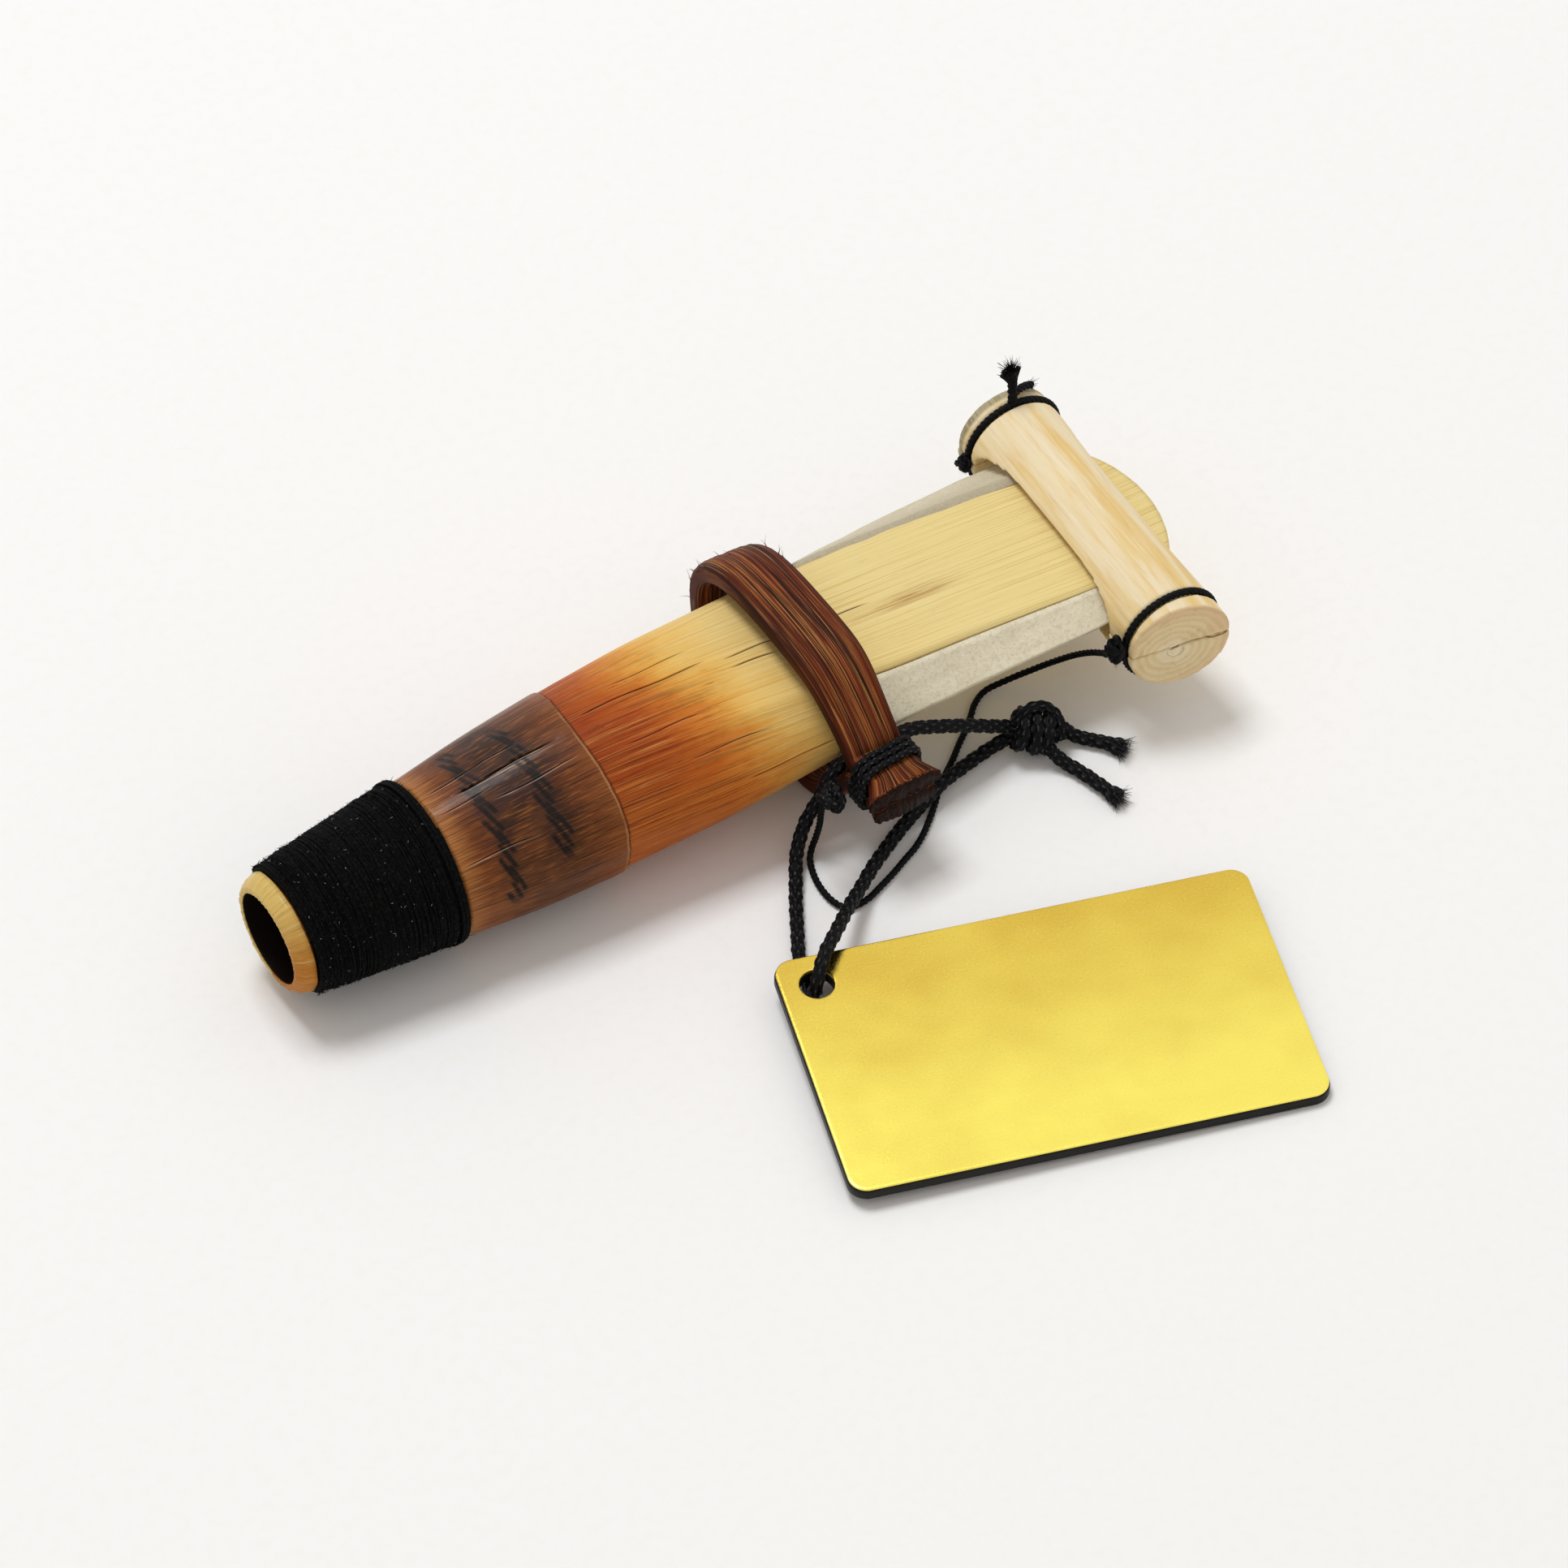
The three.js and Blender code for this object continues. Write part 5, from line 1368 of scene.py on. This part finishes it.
def tag_knot_shape(relief):
    """The braided cord's knot: wraps, a turn over them, leads to the cord and its tails, and a heart."""
    turn = Matrix.Rotation(math.radians(-28), 3, "Z") @ Matrix.Rotation(math.radians(12), 3, "Y")
    turn = np.array(turn).T
    parts = []
    t = np.linspace(0, TAU, 120)
    for i, (at, radius, tilt) in enumerate(TAG_KNOT_WRAPS):
        ring = as_points(at + tilt * 2 * np.sin(t + i), radius * np.cos(t), radius * np.sin(t) * 0.96)
        parts.append(rope(even_path(ring @ turn, CORD_SPACING), TAG_CORD, 32, relief))
    over = smooth_path(np.array(TAG_KNOT_OVER) @ turn, CORD_SPACING)
    parts.append(rope(over, TAG_CORD * 0.95, 32, relief))
    centre = np.array(TAG_KNOT_AT)
    for route in (
        TAG_CORD_ROUTE[:2], TAG_CORD_ROUTE[:-3:-1], TAIL_FRONT_ROUTE[:2], TAIL_BACK_ROUTE[:2],
    ):
        end, beyond = np.array(route)
        out = end - centre
        lead = smooth_path([centre * 0, out * 0.6, out, out + unit(beyond - end) * 0.25], CORD_SPACING)
        parts.append(rope(lead, TAG_CORD * 0.98, 32, relief))
    heart = smooth_path(np.array(TAG_KNOT_HEART) @ turn, COARSE_SPACING)
    parts.append(rope(heart, TAG_KNOT_HEART_SIZE, 24))
    return above_table(moved(joined(parts), TAG_KNOT_AT), 0)


def tag_tail_shape(route, relief, seed):
    """A free end of the braided cord, swollen and frayed where it is cut."""
    path = smooth_path(route, CORD_SPACING)
    path = path[:-int(TAIL_FRAY / CORD_SPACING)]
    end = frayed_end(path[-1], path[-1] - path[-6], TAG_CORD * 0.68, 1.5, 170, seed)
    tail = rope(path, TAG_CORD, 32, swollen(relief, len(path) * CORD_SPACING))
    return above_table(joined([tail, end]), 0.02)


def tether_shape(route, relief):
    """A length of the tether, run on a little past the point where it meets the other."""
    path = smooth_path(route, FINE_SPACING)
    beyond = unit(path[-1] - path[-4]) * np.array([[0.15], [0.3], [0.45]])
    return rope(np.vstack([path, path[-1] + beyond]), TETHER, 14, relief)


def plate_shape(thickness, lift, inset, bevel):
    """The tag's rounded plate with its hole, its edges broken by a small bevel."""
    left, right = -TAG_HOLE_FROM_SIDE + inset, TAG_WIDTH - TAG_HOLE_FROM_SIDE - inset
    top, bottom = TAG_HOLE_FROM_TOP - inset, TAG_HOLE_FROM_TOP - TAG_HEIGHT + inset
    corner = TAG_CORNER - inset

    def corners(pull):
        centres = [
            (right - corner, top - corner, 0), (left + corner, top - corner, 90),
            (left + corner, bottom + corner, 180), (right - corner, bottom + corner, 270),
        ]
        a = np.radians([np.linspace(first, first + 90, 16) for _, _, first in centres])
        x, y = ([[centre[k]] for centre in centres] for k in (0, 1))
        x, y = x + (corner - pull) * np.cos(a), y + (corner - pull) * np.sin(a)
        return x.ravel(), y.ravel(), np.arctan2(y, x).ravel()

    around = np.linspace(-math.pi, math.pi, 72, endpoint=False)
    bearing = np.unique(np.concatenate([corners(0)[2], around]))

    def contour(pull):
        x, y, heading = corners(pull)
        return [np.interp(bearing, heading, x, period=TAU), np.interp(bearing, heading, y, period=TAU)]

    def hole(pull):
        radius = TAG_HOLE_RADIUS + inset * 0.3 + pull
        return [radius * np.cos(bearing), radius * np.sin(bearing)]

    steps = [(bevel + PLATE_BORDER, 0)]
    for a in np.radians((0, 30, 60, 90)):
        steps.append((bevel * (1 - math.sin(a)), bevel * (1 - math.cos(a))))
    outer = [(contour(pull), lift + thickness - drop) for pull, drop in steps]
    inner = [(hole(pull), lift + thickness - drop) for pull, drop in steps[::-1]]
    order = outer + [(p, 2 * lift + thickness - z) for p, z in outer[::-1] + inner[::-1]] + inner
    rings = np.array([np.column_stack([*p, np.full(len(bearing), z)]) for p, z in order])
    count, columns = rings.shape[:2]
    points = rings.reshape(-1, 3)
    return points, grid_faces(count, columns, True), np.zeros_like(points)


def tag_place():
    """Where the leaning tag stands, with its lowest corner on the table as in the part."""
    lean_x = math.asin(TAG_LIFT / 2 / (TAG_HEIGHT - TAG_HOLE_FROM_TOP))
    lean_y = math.asin(TAG_LIFT / 2 / (TAG_WIDTH - TAG_HOLE_FROM_SIDE))
    lean = Matrix.Rotation(lean_x, 4, "X") @ Matrix.Rotation(lean_y, 4, "Y")
    turn = Matrix.Rotation(TAG_YAW, 4, "Z") @ lean
    flat = Matrix.Translation(((TAG_AT[0] + TABLE_SHIFT.x) * MM, (TAG_AT[1] + TABLE_SHIFT.y) * MM, 0))
    points = np.array([(flat @ turn @ Vector(p * MM))[2] for p in plate_shape(TAG_CORE, 0, 0, 0)[0]])
    return Matrix.Translation((0, 0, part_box("tag_core")[0].z - points.min())) @ flat @ turn


def table_point(point):
    return [(point[k] + TABLE_SHIFT[k]) * MM for k in range(3)]


def table_path(route):
    """A route's points in metres in the frame, close enough together to have its length."""
    return [table_point(p) for p in smooth_path(route, ROUTE_SPACING)]


# Settings

def colour_setting(name, code, description):
    return bpy.props.FloatVectorProperty(
        name=name, description=description, subtype="COLOR", default=tone(code), min=0, max=1)


def length_setting(name, millimetres, description):
    return bpy.props.FloatProperty(
        name=name, description=description, unit="LENGTH", default=millimetres * MM, min=0)


class DudukCane(bpy.types.PropertyGroup):
    """Colours and relief of the cane."""

    rim: colour_setting("Rim", "d8b868", "Cut ring of cane at the base")
    rim_warm: colour_setting("Rim, warm", "b8721c", "Deeper side of the cut ring")
    bark: colour_setting("Bark", "713b19", "Bark left on the reed's waist")
    bark_dark: colour_setting("Bark, dark", "351b0e", "Darker patches of the bark")
    bark_pale: colour_setting("Bark, pale", "b4763f", "Bark next to the winding")
    bark_warm: colour_setting("Bark, warm", "8b5125", "Worn patches of the bark")
    toast_dark: colour_setting("Toast, dark", "963c14", "Scraped cane next to the bark")
    toast: colour_setting("Toast", "b4541a", "Toasted cane")
    toast_gold: colour_setting("Toast, gold", "cf7a2a", "Where the toasting fades")
    gold: colour_setting("Gold", "e4a748", "Golden cane")
    straw: colour_setting("Straw", "ebc068", "Straw-coloured cane")
    blade_warm: colour_setting("Blade, warm", "e9cc84", "Cane in front of the bridle")
    blade: colour_setting("Blade", "ecd794", "Pale cane of the blade")
    grain_relief: length_setting("Grain relief", 0.07, "Depth of the cane's fine grain")


class DudukThread(bpy.types.PropertyGroup):
    """Thread wound on the base of the reed."""

    thread: length_setting("Thread", 0.3, "Thickness of the winding thread")
    colour: colour_setting("Thread colour", "090909", "Colour of the thread")
    lint: colour_setting("Lint colour", "b4b7bb", "Colour of the dust caught in the thread")
    fuzz: bpy.props.IntProperty(
        name="Fuzz", description="Loose fibres on the thread", default=3000, min=0)
    specks: bpy.props.IntProperty(
        name="Specks", description="Bits of lint on the thread", default=240, min=0)


class DudukLeather(bpy.types.PropertyGroup):
    """Leather strips on the edges of the blade."""

    colour: colour_setting("Leather", "f0e8cf", "Pale face of the leather")
    shade: colour_setting("Leather, shade", "cabe9d", "Darker speckle of the leather")
    nap_relief: length_setting("Nap relief", 0.12, "Depth of the leather's nap")


class DudukBridle(bpy.types.PropertyGroup):
    """Split vine of the bridle."""

    colour: colour_setting("Vine", "6a2d16", "Skin of the vine")
    dark: colour_setting("Vine, dark", "30120a", "Darker vine along its edges")
    fibre: colour_setting("Fibre", "a5622f", "Pale fibres of the vine")


class DudukCap(bpy.types.PropertyGroup):
    """Split stick that closes on the tip."""

    cream: colour_setting("Wood", "f1e0ba", "Pale peeled wood")
    streak: colour_setting("Streak", "e9c880", "Yellow streaks in the wood")
    grain_relief: length_setting("Grain relief", 0.06, "Depth of the wood's grain")


class DudukCords(bpy.types.PropertyGroup):
    """Waxed and braided cords."""

    colour: colour_setting("Cord", "070708", "Colour of the cords")
    glint: colour_setting("Glint", "2e2e32", "Colour of the filaments that catch the light")
    braid_depth: bpy.props.FloatProperty(
        name="Braid depth", description="Depth of the braid as a share of the cord's radius",
        subtype="FACTOR", default=0.34, min=0, max=0.5)


class DudukTag(bpy.types.PropertyGroup):
    """Swing tag."""

    gold: colour_setting("Gold", "f6e468", "Mirror film on the tag")
    # Deeper gold of the film, also used as painted shade towards the hole end.
    gold_deep_and_shade: colour_setting("Gold, deep", "d2ac42", "Deeper gold of the film")
    core: colour_setting("Core", "0d0c0c", "Black laminate under the film")


class DudukStage(bpy.types.PropertyGroup):
    """Camera, lights and floor."""

    camera: bpy.props.FloatVectorProperty(
        name="Camera", description="Where the camera stands", subtype="TRANSLATION", unit="LENGTH",
        default=(-0.37494, -0.59009, 0.81604))
    lens: bpy.props.FloatProperty(
        name="Lens", description="Focal length in millimetres", default=223.6, min=1)
    floor: colour_setting("Floor", "fdfdfd", "Colour of the floor")
    key_power: bpy.props.FloatProperty(
        name="Key lamp", description="Power of the lamp behind the reed", unit="POWER", default=12, min=0)
    sky: bpy.props.FloatProperty(
        name="Sky", description="Strength of the even light", default=0.55, min=0)


# Operators

class DUDUK_OT_cords(bpy.types.Operator):
    """Make the free cords: the braided cord of the tag and the thin tether of the cap"""

    bl_idname = "duduk.cords"
    bl_label = "Cords"

    def execute(self, context):
        look = context.scene.duduk_cords
        braided = cord_finish("braided cord", look, 0.34, BRAID_STRANDS, BRAID_STEP)
        waxed = cord_finish("waxed cord", look, 0.42)
        relief = braid(BRAID_STRANDS, BRAID_STEP, look.braid_depth)
        cord, knot, *tails = (
            make_piece(name, shape, braided, TABLE, "bridle", (node,))
            for name, node, shape in (
                ("braided_cord", "tag_cord",
                 rope(smooth_path(TAG_CORD_ROUTE, CORD_SPACING), TAG_CORD, 32, relief)),
                ("braided_cord_knot", "tag_cord_knot", tag_knot_shape(relief)),
                ("braided_cord_tail_front", "tag_cord_tail_front",
                 tag_tail_shape(TAIL_FRONT_ROUTE, relief, 91)),
                ("braided_cord_tail_back", "tag_cord_tail_back",
                 tag_tail_shape(TAIL_BACK_ROUTE, relief, 92)),
            )
        )
        table_point(TAG_CORD_ROUTE[0])
        table_path(TAG_CORD_ROUTE)

        relief = twist(3, 2, 0.26)
        for name, node, route, body, end, length in (
            ("cap_tether", "tether_from_cap", TETHER_FROM_CAP_ROUTE, "cap", (88.2, -6.2, 0.45), 0.038),
            ("bridle_tether", "tether_from_bridle", TETHER_FROM_BRIDLE_ROUTE, "bridle",
             (61.75, -16, 0.5), 0.034),
        ):
            tether = make_piece(
                name, tether_shape(route, relief), waxed, TABLE, None, (node,))
            table_point(route[0])
            table_point(end)
            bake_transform(tether)
            table_point(route[0])
            table_path(route)
        return {"FINISHED"}


class DUDUK_OT_cane(bpy.types.Operator):
    """Make the hollow cane with its bark, its toasted neck and its splits"""

    bl_idname = "duduk.cane"
    bl_label = "Cane"

    def execute(self, context):
        shape, edges = cane_shape()
        piece = make_piece("cane_body", shape, cane_finish(context.scene.duduk_cane), REED,
                           "reed", ("reed_cane",))
        layer = piece.data.attributes.new("edges", "FLOAT_VECTOR", "POINT")
        layer.data.foreach_set("vector", edges.astype(np.float32).ravel())
        return {"FINISHED"}


class DUDUK_OT_winding(bpy.types.Operator):
    """Wind the thread on the base, with its loose fibres and lint"""

    bl_idname = "duduk.winding"
    bl_label = "Winding"

    def execute(self, context):
        look = context.scene.duduk_thread
        black = thread_finish(look)
        make_piece("wound_thread", wound_thread_shape(look), black, REED, "reed",
                   ("thread_core", "thread_winding"))
        fuzz = fuzz_shape(look.fuzz, RIM_LENGTH + 0.4, WRAP_END - 0.25, 1.0, 0.055, 51, False)
        make_piece("thread_fuzz", fuzz, black, REED, "reed")
        lint = fuzz_shape(look.specks, RIM_LENGTH + 0.6, WRAP_END - 0.6, 0.34, 0.035, 52, True)
        make_piece("thread_lint", lint, lint_finish(look), REED, "reed")
        return {"FINISHED"}


class DUDUK_OT_leather(bpy.types.Operator):
    """Lay the leather strips over both edges of the blade"""

    bl_idname = "duduk.leather"
    bl_label = "Leather"

    def execute(self, context):
        look = context.scene.duduk_leather
        for edge, side in (("near", -1), ("far", 1)):
            leather = leather_finish(look, f"{edge} leather", side < 0)
            make_piece(f"leather_strip_{edge}", strip_shape(side), leather, REED,
                       "reed", (f"edge_leather_{edge}",))
        return {"FINISHED"}


class DUDUK_OT_bridle(bpy.types.Operator):
    """Bend the vine round the reed and tie it"""

    bl_idname = "duduk.bridle"
    bl_label = "Bridle"

    def execute(self, context):
        cords = context.scene.duduk_cords
        waxed = cord_finish("bridle cord", cords, 0.4, TIE_STRANDS, TIE_STEP)
        make_piece("vine_bridle", bridle_shape(), vine_finish(context.scene.duduk_bridle), REED,
                   "bridle", ("bridle_band",))
        make_piece("bridle_tie_cord", bridle_tie_shape(), waxed, REED,
                   "bridle", ("bridle_tie",))
        knot_at = BRIDLE_AT - BRIDLE_TIED_WIDTH / 2 - GAP - TIE_CORD - GAP - BRIDLE_KNOT_SIZE / 2
        relief = braid(TIE_STRANDS, TIE_STEP, TIE_RELIEF)
        knot = knot_shape(BRIDLE_KNOT_SIZE, TIE_CORD * 1.1, relief, 101)
        make_piece("bridle_tie_knot", moved(knot, (knot_at, -TIE_REACH, GAP)), waxed, REED,
                   "bridle", ("bridle_knot",))
        return {"FINISHED"}


class DUDUK_OT_cap(bpy.types.Operator):
    """Make the split cap and bind it with its cords"""

    bl_idname = "duduk.cap"
    bl_label = "Cap"

    def execute(self, context):
        cords = context.scene.duduk_cords
        wood = cap_finish(context.scene.duduk_cap)
        waxed = cord_finish("cap cord", cords, 0.42)
        cap_stick("cap_half_upper", "cap_upper", 1, wood)
        cap_stick("cap_half_lower", "cap_lower", -1, wood)
        relief = twist(3, 2, 0.3)
        near_at, far_at = (-7.05, CAP_NEAR_GROOVE, 1.1), (-6.4, CAP_FAR_GROOVE, -0.2)
        tether = CAP.inverted() @ Vector(table_point(TETHER_FROM_CAP_ROUTE[0])) / MM
        lead = np.array([near_at, tether + (tether - Vector(near_at)) * 0.08])
        near_knot = cap_knot_shape(near_at, (0.85, 0.85, 1.5), 111, relief)
        near_knot = joined([near_knot, rope(even_path(lead, COARSE_SPACING), CAP_TIE, 12)])
        for name, node, shape in (
            ("cap_cord_near", "cap_tie_near", cap_ring_shape(CAP_NEAR_GROOVE, relief)),
            ("cap_cord_far", "cap_tie_far", cap_ring_shape(CAP_FAR_GROOVE, relief)),
            ("cap_knot_by_near_end", "cap_knot_near", near_knot),
            ("cap_knot_by_far_end", "cap_knot_far",
             cap_knot_shape(far_at, (0.65, 0.75, 0.85), 121, relief)),
            ("cap_cord_tails", "cap_tie_tails", cap_tails_shape(relief)),
        ):
            make_piece(name, shape, waxed, CAP, "cap", (node,))
        return {"FINISHED"}


class DUDUK_OT_tag(bpy.types.Operator):
    """Make the swing tag: black core and gold film"""

    bl_idname = "duduk.tag"
    bl_label = "Tag"

    def execute(self, context):
        look = context.scene.duduk_tag
        place = tag_place()
        make_piece("tag_laminate", plate_shape(TAG_CORE, 0, 0, 0.18), tag_core_finish(look), place,
                   "tag", ("tag_core",))
        make_piece("tag_film", plate_shape(TAG_FACE, TAG_CORE, 0.12, 0.1), tag_face_finish(look), place,
                   "tag", ("tag_face",))
        return {"FINISHED"}


class DUDUK_OT_stage(bpy.types.Operator):
    """Set up the camera, the soft lights and the pale floor"""

    bl_idname = "duduk.stage"
    bl_label = "Stage"

    def execute(self, context):
        look = context.scene.duduk_stage
        scene = context.scene
        scene.view_settings.view_transform = "Standard"

        camera = bpy.data.objects.new("camera", bpy.data.cameras.new("camera"))
        camera.data.lens = look.lens
        camera.data.sensor_width = SENSOR_WIDTH
        camera.data.clip_start, camera.data.clip_end = 0.01, 20
        turn = Matrix((CAMERA_RIGHT, CAMERA_UP, CAMERA_RIGHT.cross(CAMERA_UP))).transposed()
        camera.matrix_world = Matrix.Translation(look.camera) @ turn.to_4x4()
        scene.collection.objects.link(camera)
        scene.camera = camera

        floor_mesh = bpy.data.meshes.new("floor")
        corners = [(x * FLOOR_REACH, y * FLOOR_REACH, 0) for x, y in ((-1, -1), (1, -1), (1, 1), (-1, 1))]
        floor_mesh.from_pydata(corners, [], [(0, 1, 2, 3)])
        floor = bpy.data.objects.new("floor", floor_mesh)
        scene.collection.objects.link(floor)
        made = Finish("floor", Specular_IOR_Level=0.1, Roughness=0.9)
        x, y, _ = made.place()
        weave = made.noise(x * 0.7, y * 0.7, 0.0, 3.0, 0.5)
        floor_mesh.materials.append(made.finish(
            made.mix(look.floor, "f8f7f5", weave.step(0.45, 0.7) * 0.3)))

        lamp = bpy.data.lights.new("key", "AREA")
        lamp.shape = "RECTANGLE"
        lamp.size, lamp.size_y = KEY_SIZE
        lamp.energy = look.key_power
        lamp.color = KEY_TINT
        key = bpy.data.objects.new("key", lamp)
        away = KEY_AWAY.normalized()
        facing = away.to_track_quat("Z", "Y").to_matrix().to_4x4()
        key.matrix_world = Matrix.Translation(away * KEY_DISTANCE) @ facing
        scene.collection.objects.link(key)

        scene.world = bpy.data.worlds.new("sky")
        scene.world.use_nodes = True
        sky = Nodes(scene.world.node_tree)
        camera_ray, glossy, through = sky.node("ShaderNodeLightPath", output=(
            "Is Camera Ray", "Is Glossy Ray", "Is Transmission Ray"))
        seen = sky.node("ShaderNodeMath", {"operation": "ADD", "use_clamp": True},
                        {0: camera_ray, 1: glossy + through})
        even = sky.node("ShaderNodeBackground", inputs={0: SKY_TINT, 1: look.sky})
        white = sky.node("ShaderNodeBackground", inputs={0: WHITE, 1: 1.0})
        shown = sky.node("ShaderNodeMixShader", inputs={0: seen, 1: even, 2: white})
        sky.node("ShaderNodeOutputWorld", inputs={0: shown}, output=())
        return {"FINISHED"}


OPERATORS = (
    DUDUK_OT_stage, DUDUK_OT_cords, DUDUK_OT_cane, DUDUK_OT_winding, DUDUK_OT_leather, DUDUK_OT_bridle,
    DUDUK_OT_cap, DUDUK_OT_tag,
)
SETTINGS = {
    "duduk_cane": DudukCane, "duduk_thread": DudukThread, "duduk_leather": DudukLeather,
    "duduk_bridle": DudukBridle, "duduk_cap": DudukCap, "duduk_cords": DudukCords,
    "duduk_tag": DudukTag, "duduk_stage": DudukStage,
}


class DUDUK_PT_pieces(bpy.types.Panel):
    """Lists the pieces of the duduk reed."""

    bl_idname = "DUDUK_PT_pieces"
    bl_label = "Duduk reed"
    bl_space_type = "VIEW_3D"
    bl_region_type = "UI"
    bl_category = "Duduk reed"

    def draw(self, context):
        for operator in OPERATORS:
            self.layout.operator(operator.bl_idname)
        for name, settings in SETTINGS.items():
            look = getattr(context.scene, name)
            box = self.layout.box()
            for field in settings.__annotations__:
                box.prop(look, field)


def register():
    for name, settings in SETTINGS.items():
        bpy.utils.register_class(settings)
        setattr(bpy.types.Scene, name, bpy.props.PointerProperty(type=settings))
    for kind in (*OPERATORS, DUDUK_PT_pieces):
        bpy.utils.register_class(kind)


def unregister():
    for kind in (DUDUK_PT_pieces, *reversed(OPERATORS)):
        bpy.utils.unregister_class(kind)
    for name, settings in SETTINGS.items():
        delattr(bpy.types.Scene, name)
        bpy.utils.unregister_class(settings)


def main():
    register()
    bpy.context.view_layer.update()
    for operator in OPERATORS:
        group, name = operator.bl_idname.split(".")
        getattr(getattr(bpy.ops, group), name)()


if __name__ == "__main__":
    main()
